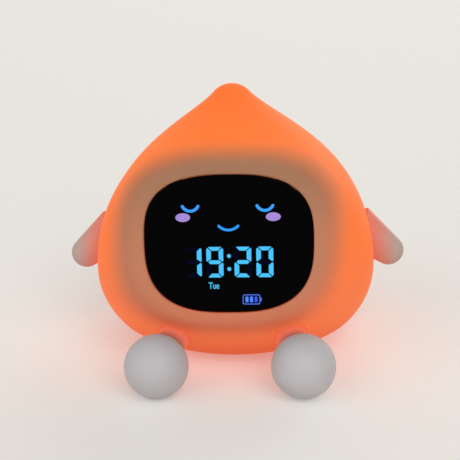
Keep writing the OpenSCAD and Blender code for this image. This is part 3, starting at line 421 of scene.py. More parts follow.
def body_point(a, r, z):
    """The outside of the drop at angle a, where the side profile has radius r and height z."""
    rise = 1 + FOREHEAD * ease((z - BELLY_Z) / (LENS_Z + LENS_UP - BELLY_Z))
    front = np.sin(a) < 0
    depth = np.where(front, soft_min(r * rise, FRONT_D), soft_min(r, BACK_D))
    square = (2 + (np.where(front, FRONT_N, BACK_N) - 2) * ease(z / SQUARE_BELOW)
              * ease((BODY_H - z) / (BODY_H - LENS_Z - LENS_UP + SQUARE_ABOVE)))
    q = 1 / rounded(np.cos(a), np.sin(a), r, depth, square)
    x, y = q * np.cos(a), q * np.sin(a) + BASE_BACK * (1 - ease(z / BELLY_Z))
    plane = (z - LENS_Z) * math.tan(LENS_TILT) - LENS_Y - LIP_H
    t_front = ease((lens_norm(x, z - LENS_Z) - SEAT_FROM) / SEAT_EASE)
    t_back = ease((panel_norm(x, z - PANEL_Z, SEAT_BORDER) - 1) / SEAT_EASE)
    y = np.where(y < 0, plane + (y - plane) * t_front, PANEL_LIP_Y + (y - PANEL_LIP_Y) * t_back)
    return np.stack([x, y, z + 0 * x], -1)


def lens_local(p):
    """Points in the display window's own upright frame: x, depth behind its face, height."""
    dy, dz = p[..., 1] + LENS_Y, p[..., 2] - LENS_Z
    return np.stack([p[..., 0], dy * LEAN_COS - dz * LEAN_SIN, dy * LEAN_SIN + dz * LEAN_COS], -1)


def lens_world(p):
    """Back from the display window's frame to the clock's."""
    p = np.asarray(p, float)
    return np.stack([p[..., 0], p[..., 1] * LEAN_COS + p[..., 2] * LEAN_SIN - LENS_Y,
                     -p[..., 1] * LEAN_SIN + p[..., 2] * LEAN_COS + LENS_Z], -1)


def leg_axes(side):
    """The ball's centre and the leg's direction into the body."""
    start = np.array([side * FOOT_X, -FOOT_Y, FOOT_R])
    return start, np.array([-side * math.sin(LEG_IN) * math.cos(LEG_RISE),
                            math.cos(LEG_IN) * math.cos(LEG_RISE), math.sin(LEG_RISE)])


# An opening is a function that is below 0 in the hole and about the distance in millimetres
# outside it, and FAR on the wrong side of the body.
FACE_Y, LENS_REACH, PANEL_REACH, LEG_CLEAR, FAR, NEARBY = 20, 27, 16, 4, 50, 20


def opening_lens(p):
    q = lens_local(p)
    f = (lens_norm(q[..., 0], q[..., 2], FIT + ROLL) - 1) * LENS_REACH
    return np.where(p[..., 1] < -FACE_Y, f, FAR)


def opening_panel(p):
    f = (panel_norm(p[..., 0], p[..., 2] - PANEL_Z, FIT + ROLL) - 1) * PANEL_REACH
    return np.where(p[..., 1] > FACE_Y, f, FAR)


def opening_leg(side):
    start, axis = leg_axes(side)

    def f(p):
        d = p - start
        along = d @ axis
        away = np.linalg.norm(d - along[..., None] * axis, axis=-1) - LEG_R - FIT - ROLL
        return np.where((along > LEG_CLEAR) & (p[..., 1] < 0), away, FAR)
    return f


def opening_base(p):
    return np.linalg.norm(p[..., :2] - [0, BASE_BACK], axis=-1) - HOLE_R


around, low, up, tip = (288, 36, 108, 10) if fine else (200, 26, 76, 8)
a = np.linspace(0, math.pi / 2, low + 1)
rings = [np.stack([BASE_R + (BODY_R - BASE_R) * np.sin(a),
                   BELLY_Z + (SKIN_LIFT - BELLY_Z) * np.cos(a)], -1)]
top = np.array([TIP_R * math.sin(TIP_A), BODY_H - TIP_R + TIP_R * math.cos(TIP_A)])
pull = top - FLANK_PULL * np.array([-math.cos(TIP_A), math.sin(TIP_A)])
belly = [BODY_R, BELLY_Z]
above_belly = [BODY_R, BELLY_Z + BELLY_PULL]
t = np.linspace(0, 1, up + 1)[1:, None]
rings.append((1 - t) ** 3 * belly + 3 * (1 - t) ** 2 * t * above_belly
             + 3 * (1 - t) * t * t * pull + t ** 3 * top)
a = TIP_A * (1 - np.arange(1, tip) / tip)
rings.append(np.stack([TIP_R * np.sin(a), BODY_H - TIP_R + TIP_R * np.cos(a)], -1))
rings = np.concatenate(rings)
angle = np.linspace(0, 2 * math.pi, around, endpoint=False) - math.pi / 2
points = [np.stack([HOLE_R * np.cos(angle), BASE_BACK + HOLE_R * np.sin(angle),
                    np.full(around, SKIN_LIFT)], -1)]
points += [body_point(angle, r, z) for r, z in rings]
rows = len(points)
points = np.concatenate(points + [np.array([[0, 0, BODY_H]])])
k = np.arange(around)
m = (k + 1) % around
faces = []
for i in range(rows - 1):
    lo, hi = i * around, (i + 1) * around
    faces += [np.stack([lo + k, lo + m, hi + m], -1), np.stack([lo + k, hi + m, hi + k], -1)]
faces.append(np.stack([(rows - 1) * around + k, (rows - 1) * around + m,
                       np.full(around, rows * around)], -1))
faces = np.concatenate(faces)


def sides_of(triangles):
    return np.concatenate([triangles[:, [0, 1]], triangles[:, [1, 2]], triangles[:, [2, 0]]])


# the points nearest to an opening's outline move onto it, and the faces inside it go
ON_EDGE = 1e-6
openings = [(opening_lens, np.array([0, LEAN_COS, -LEAN_SIN])),
            (opening_panel, np.array([0, -1.0, 0])),
            (opening_leg(-1), leg_axes(-1)[1]), (opening_leg(1), leg_axes(1)[1])]
for inside, axis in openings:
    value = inside(points)
    edges = np.unique(np.sort(sides_of(faces), 1), axis=0)
    v0, v1 = value[edges[:, 0]], value[edges[:, 1]]
    crossing = (v0 * v1 < 0) & (np.abs(v0) < NEARBY) & (np.abs(v1) < NEARBY)
    edges, v0, v1 = edges[crossing], v0[crossing], v1[crossing]
    share = v0 / (v0 - v1)
    near = np.where(share < 0.5, edges[:, 0], edges[:, 1])
    moved = points[edges[:, 0]] * (1 - share[:, None]) + points[edges[:, 1]] * share[:, None]
    order = np.argsort(-np.minimum(share, 1 - share))
    points = points.copy()
    points[near[order]] = moved[order]
    value[near] = 0
    middle = inside(points[faces].mean(1))
    corners = value[faces]
    in_hole = (np.abs(corners).max(1) < ON_EDGE) & (middle < 0)
    faces = faces[(corners.min(1) > -ON_EDGE) & ~in_hole]

# the rims of the openings are rolled inwards
keys = set(map(tuple, sides_of(faces)))
following = {b: a for a, b in keys if (b, a) not in keys}
loops = []
while following:
    start = next(iter(following))
    loop = [start]
    while following.get(loop[-1]) not in (None, start):
        loop.append(following.pop(loop[-1]))
    following.pop(loop[-1], None)
    loops.append(loop)
openings.append((opening_base, np.array([0, 0, 1.0])))
ROLL_STEPS, PROBE, SHORTEST_RIM = 5, 0.05, 9
points, faces = [points], [tuple(f) for f in faces]
count = len(points[0])
for loop in (rim for rim in loops if len(rim) >= SHORTEST_RIM):
    edge = points[0][loop]
    inside, axis = min(openings, key=lambda opening: np.abs(opening[0](edge)).max())
    out = np.stack([inside(edge + PROBE * e) - inside(edge - PROBE * e) for e in np.eye(3)], -1)
    out -= (out @ axis)[:, None] * axis
    out /= np.linalg.norm(out, axis=1)[:, None]
    bends = [(bend, 0) for bend in np.linspace(0, math.pi / 2, ROLL_STEPS + 1)[1:]]
    previous = np.array(loop)
    for bend, deeper in bends + [(math.pi / 2, LIP_DEPTH)]:
        points.append(edge - out * ROLL * math.sin(bend)
                      + axis * (ROLL * (1 - math.cos(bend)) + deeper))
        current = np.arange(count, count + len(loop))
        count += len(loop)
        for i in range(len(loop)):
            j = (i + 1) % len(loop)
            faces.append((previous[i], previous[j], current[j], current[i]))
        previous = current
skin = add_mesh("skin", np.concatenate(points), [tuple(int(i) for i in f) for f in faces])
inner_wall = skin.modifiers.new("Inner wall", "SOLIDIFY")
inner_wall.thickness = INNER_WALL * MM
inner_wall.offset = -1
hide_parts("silicone_skin")
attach(skin, "clock")


def colour_ramp(value, stops):
    """A ramp through (position, (r, g, b)) stops."""
    node = add_node(value.socket.id_data, "ShaderNodeValToRGB", {0: value})
    ramp = node.color_ramp
    ramp.interpolation = "EASE"
    while len(ramp.elements) < len(stops):
        ramp.elements.new(0.5)
    for element, (position, colour) in zip(ramp.elements, stops):
        element.position = position
        element.color = (*colour, 1)
    return node.outputs[0]


# The lamp's orange light in the body is painted on as a glow in the skin's emission, and the
# display carrier's soft shade round the window is painted on as a darker ring. The painted glow
# and shade follow the height and the distance from the window, seen a little askew.
# painted glow by height, the painted shade ring's colours, and base colours for the lit and the
# shaded parts
PAINTED_GLOW_RAMP = [(0.0, (0.52, 0.06, 0.018)), (0.22, (0.74, 0.14, 0.042)), (0.5, (0.8, 0.14, 0.02)),
        (0.8, (0.82, 0.15, 0.016)), (1.0, (0.82, 0.125, 0.006))]
PAINTED_SHADE_RING_RAMP = [(0.15, (0.31, 0.022, 0.004)), (0.45, (0.2, 0.045, 0.02)), (0.8, (0.03, 0.016, 0.005))]
LIT_COLOUR, SHADED_COLOUR = (0.24, 0.08, 0.04), (0.4, 0.2, 0.12)
RING_EDGE, RING_FRONT = (1.14, 1.56), (12, 28)
SHADE_ASKEW, SHADE_LEAN = 1.6, 0.08
silicone_painted_glow, tree, shader = new_material("silicone with painted glow and shade", Roughness=0.6, Emission_Strength=1.0,
                                          Specular_IOR_Level=0.08)
x, y, z = axes_of(tree, object_place(tree))
up_z = (y + LENS_Y * MM) * LEAN_SIN + (z - LENS_Z * MM) * LEAN_COS
above = calculate("GREATER_THAN", up_z, 0.0)
half = above * ((LENS_UP - LENS_DOWN) * MM) + LENS_DOWN * MM
across = abs(x + SHADE_ASKEW * MM - up_z * SHADE_LEAN) / (LENS_W / 2 * MM)
norm = (across ** LENS_N + (abs(up_z) / half) ** LENS_N) ** (1 / LENS_N)
in_front = smooth_step(y * -1.0, RING_FRONT, MM)
# where the painted shade ring lies round the window
shaded = in_front * (1.0 - smooth_step(norm, RING_EDGE))
height = z / (BODY_H * MM)
# painted orange glow, which turns into the painted shade ring round the window
blend(shader, "Emission Color", shaded, colour_ramp(height, PAINTED_GLOW_RAMP), colour_ramp(height, PAINTED_SHADE_RING_RAMP))
# painted light and shade in the base colour too
blend(shader, "Base Color", shaded, LIT_COLOUR, SHADED_COLOUR)
apply_effect(moulded_grain, tree, shader, 0.00012, Scale=900)
skin.data.materials.append(silicone_painted_glow)

# ---- display window ----
# A polished plate of black acrylic with a softly rounded edge, glued on its foam tape into the
# lip of the skin.
EDGE_R, EDGE_STEPS, LENS_T, FACE_INSET = 0.45, 6, 1.6, 0.4


def lens_ring(grow, depth, n=240):
    a = np.linspace(0, 2 * math.pi, n, endpoint=False)
    half = np.where(np.sin(a) > 0, LENS_UP, LENS_DOWN) + grow
    q = 1 / rounded(np.cos(a), np.sin(a), LENS_W / 2 + grow, half, LENS_N)
    return np.stack([q * np.cos(a), np.full(n, depth), q * np.sin(a)], -1)


profile = [(0, LENS_T), (0, EDGE_R)]
profile += [(-EDGE_R * (1 - math.cos(t)), EDGE_R * (1 - math.sin(t)))
            for t in np.linspace(0, math.pi / 2, EDGE_STEPS + 1)[1:]]
profile += [(-EDGE_R - FACE_INSET, 0.0)]
sections = [lens_world(lens_ring(grow, depth)) for grow, depth in profile]
n = len(sections[0])
quads = [(i * n + k, i * n + (k + 1) % n, (i + 1) * n + (k + 1) % n, (i + 1) * n + k)
         for i in range(len(sections) - 1) for k in range(n)]
quads += [tuple(range(n - 1, -1, -1)), tuple(range((len(sections) - 1) * n, len(sections) * n))]
window = add_mesh("display_window", np.concatenate(sections), quads)
black_acrylic, tree, shader = new_material(
    "black acrylic", Roughness=0.06, Base_Color=(0.0008, 0.0008, 0.001), Specular_IOR_Level=0.02)
apply_effect(moulded_grain, tree, shader, 0.0000005, Scale=300, Mottle=0.01)
window.data.materials.append(black_acrylic)
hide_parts("display_lens")
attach(window, "clock")

# ---- lit signs ----
# The figures, the sleeping face, the weekday and the charge sign shine through the black plate.
# Each is a flat shape just proud of the plate's face, so that it stays crisp.
SIGN_Y, UNEVEN_SCALE, DIM, BRIGHT = -0.03, 500.0, 0.9, 1.1


def light_material(name, *screen):
    """A sign's light in a screen colour, a little uneven behind the plate."""
    material, tree, shader = new_material(name, Roughness=0.4, Base_Color=BLACK,
                                          Specular_IOR_Level=0.0, Emission_Strength=1.0)
    uneven = noise(tree, object_place(tree), UNEVEN_SCALE)
    dim, bright = (tuple(part * c for c in linear(*screen)) for part in (DIM, BRIGHT))
    blend(shader, "Emission Color", uneven, dim, bright)
    return material


def new_tree(name, **sizes):
    """A Geometry Nodes tree whose inputs are the sizes, a place and a turn; returns it, its
    inputs and its last socket."""
    tree = bpy.data.node_groups.new(name, "GeometryNodeTree")
    sizes.update(Place=(0.0, 0.0, 0.0), Turn=(0.0, 0.0, 0.0))
    kinds = {float: "NodeSocketFloat", int: "NodeSocketInt", tuple: "NodeSocketVector"}
    tree.interface.new_socket("Geometry", in_out="INPUT", socket_type="NodeSocketGeometry")
    for label, value in sizes.items():
        tree.interface.new_socket(label.replace("_", " "), in_out="INPUT",
                                  socket_type=kinds[type(value)]).default_value = value
    tree.interface.new_socket("Material", in_out="INPUT", socket_type="NodeSocketMaterial")
    tree.interface.new_socket("Geometry", in_out="OUTPUT", socket_type="NodeSocketGeometry")
    given = {socket.name: Reading(socket) for socket in tree.nodes.new("NodeGroupInput").outputs}
    return tree, given, tree.nodes.new("NodeGroupOutput").inputs[0]


def shape(tree, kind, values=(), **settings):
    """What a geometry node makes, or tells, of its inputs."""
    return add_node(tree, "GeometryNode" + kind, values, **settings).outputs[0]


def moved_by(tree, geometry, **changes):
    """Moves, turns or scales geometry."""
    return shape(tree, "Transform", {0: geometry, **changes})


def close_tree(tree, geometry, given, last):
    """Ends a tree in its place and turn, Realize Instances and Set Material."""
    placed = moved_by(tree, geometry, Translation=given["Place"], Rotation=given["Turn"])
    real = add_node(tree, "GeometryNodeRealizeInstances", {0: placed}).outputs[0]
    done = add_node(tree, "GeometryNodeSetMaterial", {0: real, "Material": given["Material"]})
    connect(done.outputs[0], last)


def face_towards(mesh, way):
    """Turns a flat mesh's faces to the front (-1) or the back (1)."""
    for polygon in mesh.polygons:
        if polygon.normal.y * way < 0:
            polygon.flip()


def run_tree(name, tree, material, points=(), marks=(), body="clock", facing=0, **sizes):
    """Runs a tree on points that carry marks, and keeps the result as a plain mesh."""
    start = bpy.data.meshes.new(name + "_points")
    start.from_pydata([tuple(float(c) * MM for c in p) for p in points], [], [])
    for mark, values in dict(marks).items():
        kind = "FLOAT_VECTOR" if np.ndim(values) == 2 else "INT"
        store = start.attributes.new(mark, kind, "POINT").data
        store.foreach_set("vector" if kind == "FLOAT_VECTOR" else "value", np.ravel(values))
    piece = bpy.data.objects.new(name, start)
    scene.collection.objects.link(piece)
    modifier = piece.modifiers.new("Nodes", "NODES")
    modifier.node_group = tree
    for socket in tree.interface.items_tree:
        key = socket.name.replace(" ", "_")
        if socket.in_out == "INPUT" and key in sizes:
            modifier[socket.identifier] = sizes[key]
        elif socket.in_out == "INPUT" and key == "Material":
            modifier[socket.identifier] = material
    mesh = bpy.data.meshes.new_from_object(
        piece.evaluated_get(bpy.context.evaluated_depsgraph_get()))
    piece.modifiers.clear()
    mesh.materials.clear()
    mesh.materials.append(material)
    mesh.polygons.foreach_set("material_index", [0] * len(mesh.polygons))
    if facing:
        face_towards(mesh, facing)
    piece.data = mesh
    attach(piece, body)
    return piece


def joined(tree, *parts):
    """Joins geometry in the order given."""
    node = tree.nodes.new("GeometryNodeJoinGeometry")
    for part in reversed(parts):
        connect(part, node.inputs[0])
    return node.outputs[0]


def corner_plate(tree, corners):
    """A flat plate through corners given as sockets."""
    ring = shape(tree, "MeshCircle", {"Vertices": len(corners)}, fill_type="NGON")
    pick = add_node(tree, "GeometryNodeIndexSwitch", {"Index": shape(tree, "InputIndex")},
                    data_type="VECTOR")
    while len(pick.index_switch_items) < len(corners):
        pick.index_switch_items.new()
    for i, corner in enumerate(corners):
        connect(corner, pick.inputs[i + 1])
    return shape(tree, "SetPosition", {0: ring, "Position": pick.outputs[0]})


# One tree makes the level, the upright and the middle bar of a seven-bar figure, with mitred
# ends and thin dark gaps, and puts one on each marked point. A corner is a side and an inset
# from it across, then 1 and an inset from the top, or 0 and a height over the middle.
STROKE_X, STROKE_Z, MIDDLE_Z = 1.7, 1.42, 0.7
BAR_CORNERS = (
    ((-1, 0.72, 1, 0.12), (-1, 0.84, 1, 0), (1, 0.84, 1, 0), (1, 0.72, 1, 0.12),
     (1, 1.9, 1, STROKE_Z), (-1, 1.9, 1, STROKE_Z)),
    ((1, 0.45, 1, 0.4), (1, 0, 1, 0.85), (1, 0, 0, 0.55), (1, 0.35, 0, 0.2),
     (1, STROKE_X, 0, 1.2), (1, STROKE_X, 1, STROKE_Z + 0.2)),
    ((-1, 0.72, 0, 0), (-1, 1.42, 0, MIDDLE_Z), (1, 1.42, 0, MIDDLE_Z), (1, 0.72, 0, 0),
     (1, 1.42, 0, -MIDDLE_Z), (-1, 1.42, 0, -MIDDLE_Z)))
bars, given, last = new_tree("Segment bars", Half_Width=0.0031, Half_Height=0.00565)
bar_shapes = []
for corners in BAR_CORNERS:
    sockets = [combine(bars, (given["Half Width"] - inset * MM) * side, 0.0,
                       given["Half Height"] - height * MM if from_top else height * MM)
               for side, inset, from_top, height in corners]
    bar_shapes.append(shape(bars, "GeometryToInstance", {0: corner_plate(bars, sockets)}))
shape_mark = shape(bars, "InputNamedAttribute", {"Name": "shape"}, data_type="INT")
flip_mark = shape(bars, "InputNamedAttribute", {"Name": "flip"}, data_type="FLOAT_VECTOR")
row = shape(bars, "InstanceOnPoints", {
    "Points": given["Geometry"], "Instance": joined(bars, *bar_shapes), "Pick Instance": True,
    "Instance Index": shape_mark, "Scale": flip_mark})
close_tree(bars, row, given, last)

# a bar's shape and how it is flipped across and up, the figures' bars and their places
BARS = {"a": (0, 1, 1), "b": (1, 1, 1), "c": (1, 1, -1), "d": (0, 1, -1), "e": (1, -1, -1),
        "f": (1, -1, 1), "g": (2, 1, 1)}
FIGURES = {"1": "bc", "9": "abcdfg", "2": "abged", "0": "abcdef"}
FIGURE_X, FIGURE_Z = (-13.05, -5.1, 5.15, 13.15), -8.2


def figure_bars(name, wanted, material):
    """The bars of the four figures that are wanted by figure and letter."""
    chosen = [(cx, *BARS[letter]) for figure, cx in zip("1920", FIGURE_X) for letter in BARS
              if wanted(figure, letter)]
    run_tree(name, bars, material, [(cx, SIGN_Y, FIGURE_Z) for cx, *_ in chosen],
             {"shape": [number for _, number, _, _ in chosen],
              "flip": [(float(across), 1.0, float(up)) for _, _, across, up in chosen]},
             facing=-1, Turn=(-LENS_TILT, 0.0, 0.0), Place=(0.0, -LENS_Y * MM, LENS_Z * MM))


digit_light = light_material("digit light", 76, 198, 255)
figure_bars("digits", lambda figure, letter: letter in FIGURES[figure], digit_light)
# the unlit segments get a faint painted glow, standing for stray light on them
figure_bars("unlit_segments", lambda figure, letter: letter not in FIGURES[figure]
            and (figure != "1" or letter in "agd"), light_material("unlit segment with painted stray glow", 4, 9, 30))


def sign(name, points, polygons, material):
    """Flat polygons on points given as (x, height) on the window, lit by one material."""
    upright = np.array([(px, SIGN_Y, pz) for px, pz in points])
    piece = add_mesh(name, lens_world(upright), polygons, smooth=False)
    piece.data.materials.append(material)
    face_towards(piece.data, -1)
    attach(piece, "clock")


def chained(outlines):
    """The points of several outlines in one list, and each outline's polygon."""
    points, polygons = [], []
    for outline in outlines:
        polygons.append(tuple(range(len(points), len(points) + len(outline))))
        points += outline
    return points, polygons


def disc(cx, cz, rx, rz, n=40):
    return [(cx + rx * math.cos(t), cz + rz * math.sin(t))
            for t in np.linspace(0, 2 * math.pi, n, endpoint=False)]


def arc(cx, top, width, sag, stroke, n=28):
    """A stroke that hangs between two points, with round ends."""
    r = (width * width / 4 + sag * sag) / (2 * sag)
    reach = math.asin(min(1, (width / 2) / r))
    centre = top - sag + r
    half = stroke / 2
    angles = np.linspace(-reach, reach, n)
    low_side, high_side = ([(cx + radius * math.sin(t), centre - radius * math.cos(t))
                            for t in turns] for radius, turns in ((r + half, angles),
                                                                  (r - half, angles[::-1])))
    caps = []
    for t, turn in ((reach, 0), (-reach, math.pi)):
        px, pz = cx + r * math.sin(t), centre - r * math.cos(t)
        caps.append([(px + half * math.cos(s + t), pz + half * math.sin(s + t))
                     for s in np.linspace(-math.pi / 2 + turn, math.pi / 2 + turn, 8)[1:-1]])
    return low_side + caps[0] + high_side + caps[1]


for name, outlines, material in (
        ("colon", [disc(0.08, -5.95, 0.72, 0.72), disc(0.12, -10.75, 0.72, 0.72)], digit_light),
        ("eyelids", [arc(s * 13.57 - 0.14, 12.4, 5.7, 1.75, 1.08) for s in (-1, 1)],
         light_material("eyelid light", 60, 160, 255)),
        ("smile", [arc(0.08, 5.1, 7.05, 1.5, 0.93)], light_material("smile light", 50, 155, 255)),
        ("cheeks", [disc(s * 16.45 - 0.04, 8.33, 2.7, 1.6) for s in (-1, 1)],
         light_material("cheek light", 168, 140, 218))):
    sign(name, *chained(outlines), material)

WEEKDAY_SIZE, WEEKDAY_BOLDER, WEEKDAY_SQUEEZE, WEEKDAY_AT = 3.35, 0.05, 0.74, (-5.6, -18.0)
weekday = bpy.data.curves.new("weekday", "FONT")
weekday.body = "Tue"
weekday.size = WEEKDAY_SIZE * MM
weekday.align_x = "CENTER"
weekday.offset = WEEKDAY_BOLDER * MM
holder = bpy.data.objects.new("weekday_text", weekday)
scene.collection.objects.link(holder)
bpy.context.view_layer.update()
text_mesh = bpy.data.meshes.new_from_object(holder)
bpy.data.objects.remove(holder)
letters = [(v.co.x / MM * WEEKDAY_SQUEEZE + WEEKDAY_AT[0], v.co.y / MM + WEEKDAY_AT[1])
           for v in text_mesh.vertices]
sign("weekday", letters, [tuple(p.vertices) for p in text_mesh.polygons], digit_light)

FRAME_BOX, FRAME_STROKE, FRAME_R = (4.8, 11.3, -24.0, -20.2), 0.4, 0.8
STUB_BOX, FIRST_BAR, BAR_PITCH, BAR_SIZE = (11.3, 11.8, -22.8, -21.4), 5.85, 1.65, (1.1, 2.1)


def box_outline(x0, x1, z0, z1, r, n=5):
    pts = []
    for cx, cz, start in ((x1 - r, z1 - r, 0), (x0 + r, z1 - r, 90), (x0 + r, z0 + r, 180),
                          (x1 - r, z0 + r, 270)):
        pts += [(cx + r * math.cos(math.radians(start + 90 * i / n)),
                 cz + r * math.sin(math.radians(start + 90 * i / n))) for i in range(n + 1)]
    return pts


outer = box_outline(*FRAME_BOX, FRAME_R)
inner = box_outline(*(edge + way * FRAME_STROKE for edge, way in zip(FRAME_BOX, (1, -1, 1, -1))),
                    0.45)
frame_strip = [[outer[i], outer[(i + 1) % len(outer)], inner[(i + 1) % len(outer)], inner[i]]
               for i in range(len(outer))]
sign("charge_frame", *chained(frame_strip + [box_outline(*STUB_BOX, 0.15)]),
     light_material("charge frame light", 75, 108, 222))
for i, colour in enumerate(((84, 140, 255), (84, 140, 255), (60, 92, 232))):
    bar_x, bar_z = FIRST_BAR + BAR_PITCH * i, (FRAME_BOX[2] + FRAME_BOX[3]) / 2
    outline = box_outline(bar_x, bar_x + BAR_SIZE[0], bar_z - BAR_SIZE[1] / 2,
                          bar_z + BAR_SIZE[1] / 2, 0.25)
    sign(f"charge_bar_{i + 1}", *chained([outline]),
         light_material(f"charge bar light {i + 1}", *colour))

# ---- feet ----
# Each foot is a ball of pale silicone with a short leg moulded on and a soft fillet between
# them. The leg plugs into the tray. The body's orange light and shade on the leg are painted:
# a darker reddish tint and an orange glow that grow towards the body.
BALL_COLOUR, LEG_PAINTED_SHADE_AND_GLOW_TINT, LEG_PAINTED_GLOW = (0.6, 0.58, 0.605), (0.42, 0.16, 0.13), (0.44, 0.07, 0.028)
LEG_PAINTED_TINT_SPAN, GLOW_SPAN, FILLET, SEAM_GAP = (11.8, 12.8), (12.2, 17.5), 2.6, 0.001


def straight(tree, start, end):
    return shape(tree, "CurvePrimitiveLine", {"Start": start, "End": end})


def round_stretch(tree, radius, start, sweep, steps):
    return shape(tree, "CurveArc", {"Resolution": steps, "Radius": radius, "Start Angle": start,
                                    "Sweep Angle": sweep}, mode="RADIUS")


def turned(tree, profile, rows, sides):
    """Turns a profile, drawn from the top down with radius along X, about the Z axis."""
    grid = shape(tree, "MeshGrid", {"Size X": 1.0, "Size Y": 1.0, "Vertices X": rows,
                                    "Vertices Y": sides + 1})
    spot_x, spot_y, _ = axes_of(tree, shape(tree, "InputPosition"))
    angle = spot_y * (2 * math.pi)
    sample = add_node(tree, "GeometryNodeSampleCurve", {"Curves": profile, "Factor": 0.5 - spot_x},
                      mode="FACTOR", use_all_curves=True)
    radius, height, _ = axes_of(tree, sample.outputs["Position"])
    round_place = combine(tree, radius * calculate("COSINE", angle),
                          radius * calculate("SINE", angle), height)
    shaped = shape(tree, "SetPosition", {0: grid, "Position": round_place})
    merged = shape(tree, "MergeByDistance", {0: shaped, "Distance": SEAM_GAP * MM})
    return shape(tree, "SetShadeSmooth", {0: merged})


ball_foot, given, last = new_tree("Ball foot", Ball_Radius=FOOT_R * MM, Leg_Radius=LEG_R * MM,
                                  Leg_Length=LEG_L * MM, Fillet=FILLET * MM)
wide = given["Leg Radius"] + given["Fillet"]
centres_apart = given["Ball Radius"] + given["Fillet"]
reach = (centres_apart ** 2.0 - wide ** 2.0) ** 0.5
touch = calculate("ARCTAN2", wide, reach)
ball = round_stretch(ball_foot, given["Ball Radius"], -math.pi / 2, math.pi - touch, 60)
fillet = round_stretch(ball_foot, given["Fillet"], 1.5 * math.pi - touch, touch - math.pi / 2, 12)
fillet = moved_by(ball_foot, fillet, Translation=combine(ball_foot, wide, reach))
leg_end = combine(ball_foot, given["Leg Radius"], given["Leg Length"])
leg = straight(ball_foot, combine(ball_foot, given["Leg Radius"], reach), leg_end)
end_cap = straight(ball_foot, leg_end, combine(ball_foot, 0.0, given["Leg Length"]))
limb = turned(ball_foot, joined(ball_foot, ball, fillet, leg, end_cap), 120, 96)
close_tree(ball_foot, limb, given, last)

foot_silicone, tree, shader = new_material(
    "foot silicone", Roughness=0.55, Emission_Strength=1.0, Subsurface_Weight=0.25,
    Subsurface_Scale=0.004, Subsurface_Radius=(1.0, 0.6, 0.45))
x, y, z = axes_of(tree, object_place(tree))
offset = combine(tree, abs(x) - FOOT_X * MM, y + FOOT_Y * MM, z - FOOT_R * MM)
from_centre = Reading(add_node(tree, "ShaderNodeVectorMath", {0: offset},
                               operation="LENGTH").outputs["Value"])
painted_leg_tint, painted_leg_glow = (smooth_step(from_centre, span, MM) for span in (LEG_PAINTED_TINT_SPAN, GLOW_SPAN))
# painted shade and glow tint: the leg turns darker and redder towards the body
blend(shader, "Base Color", painted_leg_tint, BALL_COLOUR, LEG_PAINTED_SHADE_AND_GLOW_TINT)
# painted orange glow on the leg near the body
blend(shader, "Emission Color", painted_leg_glow, BLACK, LEG_PAINTED_GLOW)
apply_effect(moulded_grain, tree, shader, 0.00012, Scale=700)
for side, node in ((-1, "foot_left"), (1, "foot_right")):
    start, axis = leg_axes(side)
    foot = run_tree(node + "_look", ball_foot, foot_silicone, Place=tuple(start * MM),
                    Turn=tuple(Vector(axis).to_track_quat("Z", "Y").to_euler()))
    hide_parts(node)

# ---- arms ----
# Soft flattened stubs of milky silicone, pressed through the skin. The body's glow on them is
# painted, as an orange tint and glow that fade from the root to the rounded end.
ARM_ROOT, ARM_END, ARM_ROOT_R, ARM_END_R, ARM_FLAT = (47, 49.2), (61.8, 37.7), 9.0, 6.1, 0.82
ARM_FADE, ROOT_GLOW, END_GLOW = (53.5, 67.5), (0.38, 0.045, 0.028), (0.03, 0.01, 0.008)
ROOT_PAINTED_GLOW_TINT, END_COLOUR = (0.42, 0.17, 0.12), (0.5, 0.4, 0.36)
arm_run, arm_rise = ARM_END[0] - ARM_ROOT[0], ARM_END[1] - ARM_ROOT[1]
arm_tree, given, last = new_tree(
    "Flattened arm", Root_Radius=ARM_ROOT_R * MM, End_Radius=ARM_END_R * MM,
    Length=math.hypot(arm_run, arm_rise) * MM, Flatness=ARM_FLAT)
narrowing = calculate("ARCSINE", (given["Root Radius"] - given["End Radius"]) / given["Length"])
lean_cos, lean_sin = (calculate(kind, narrowing) for kind in ("COSINE", "SINE"))
tip_end = round_stretch(arm_tree, given["End Radius"], narrowing, math.pi / 2 - narrowing, 40)
tip_end = moved_by(arm_tree, tip_end, Translation=combine(arm_tree, 0.0, given["Length"]))
root_up = given["Root Radius"] * lean_sin
root = combine(arm_tree, given["Root Radius"] * lean_cos, root_up)
shoulder = combine(arm_tree, given["End Radius"] * lean_cos,
                   given["End Radius"] * lean_sin + given["Length"])
outline = joined(arm_tree, straight(arm_tree, combine(arm_tree, 0.0, root_up), root),
                 straight(arm_tree, root, shoulder), tip_end)
stub = moved_by(arm_tree, turned(arm_tree, outline, 72, 72),
                Scale=combine(arm_tree, 1.0, given["Flatness"], 1.0))
close_tree(arm_tree, stub, given, last)

arm_silicone, tree, shader = new_material("arm silicone", Roughness=0.5, Emission_Strength=1.0)
x, y, z = axes_of(tree, object_place(tree))
fade = smooth_step(abs(x), ARM_FADE, MM)
# painted glow, fading from the root to the end
blend(shader, "Emission Color", fade, ROOT_GLOW, END_GLOW)
# painted glow tint in the base colour, fading from the orange root to the milky end
blend(shader, "Base Color", fade, ROOT_PAINTED_GLOW_TINT, END_COLOUR)
apply_effect(moulded_grain, tree, shader, 0.00012, Scale=700)
for side, node in ((-1, "arm_left"), (1, "arm_right")):
    arm = run_tree(node + "_look", arm_tree, arm_silicone,
                   Place=(side * ARM_ROOT[0] * MM, 0.0, ARM_ROOT[1] * MM),
                   Turn=(0.0, side * math.atan2(arm_run, arm_rise), 0.0))
    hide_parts(node)

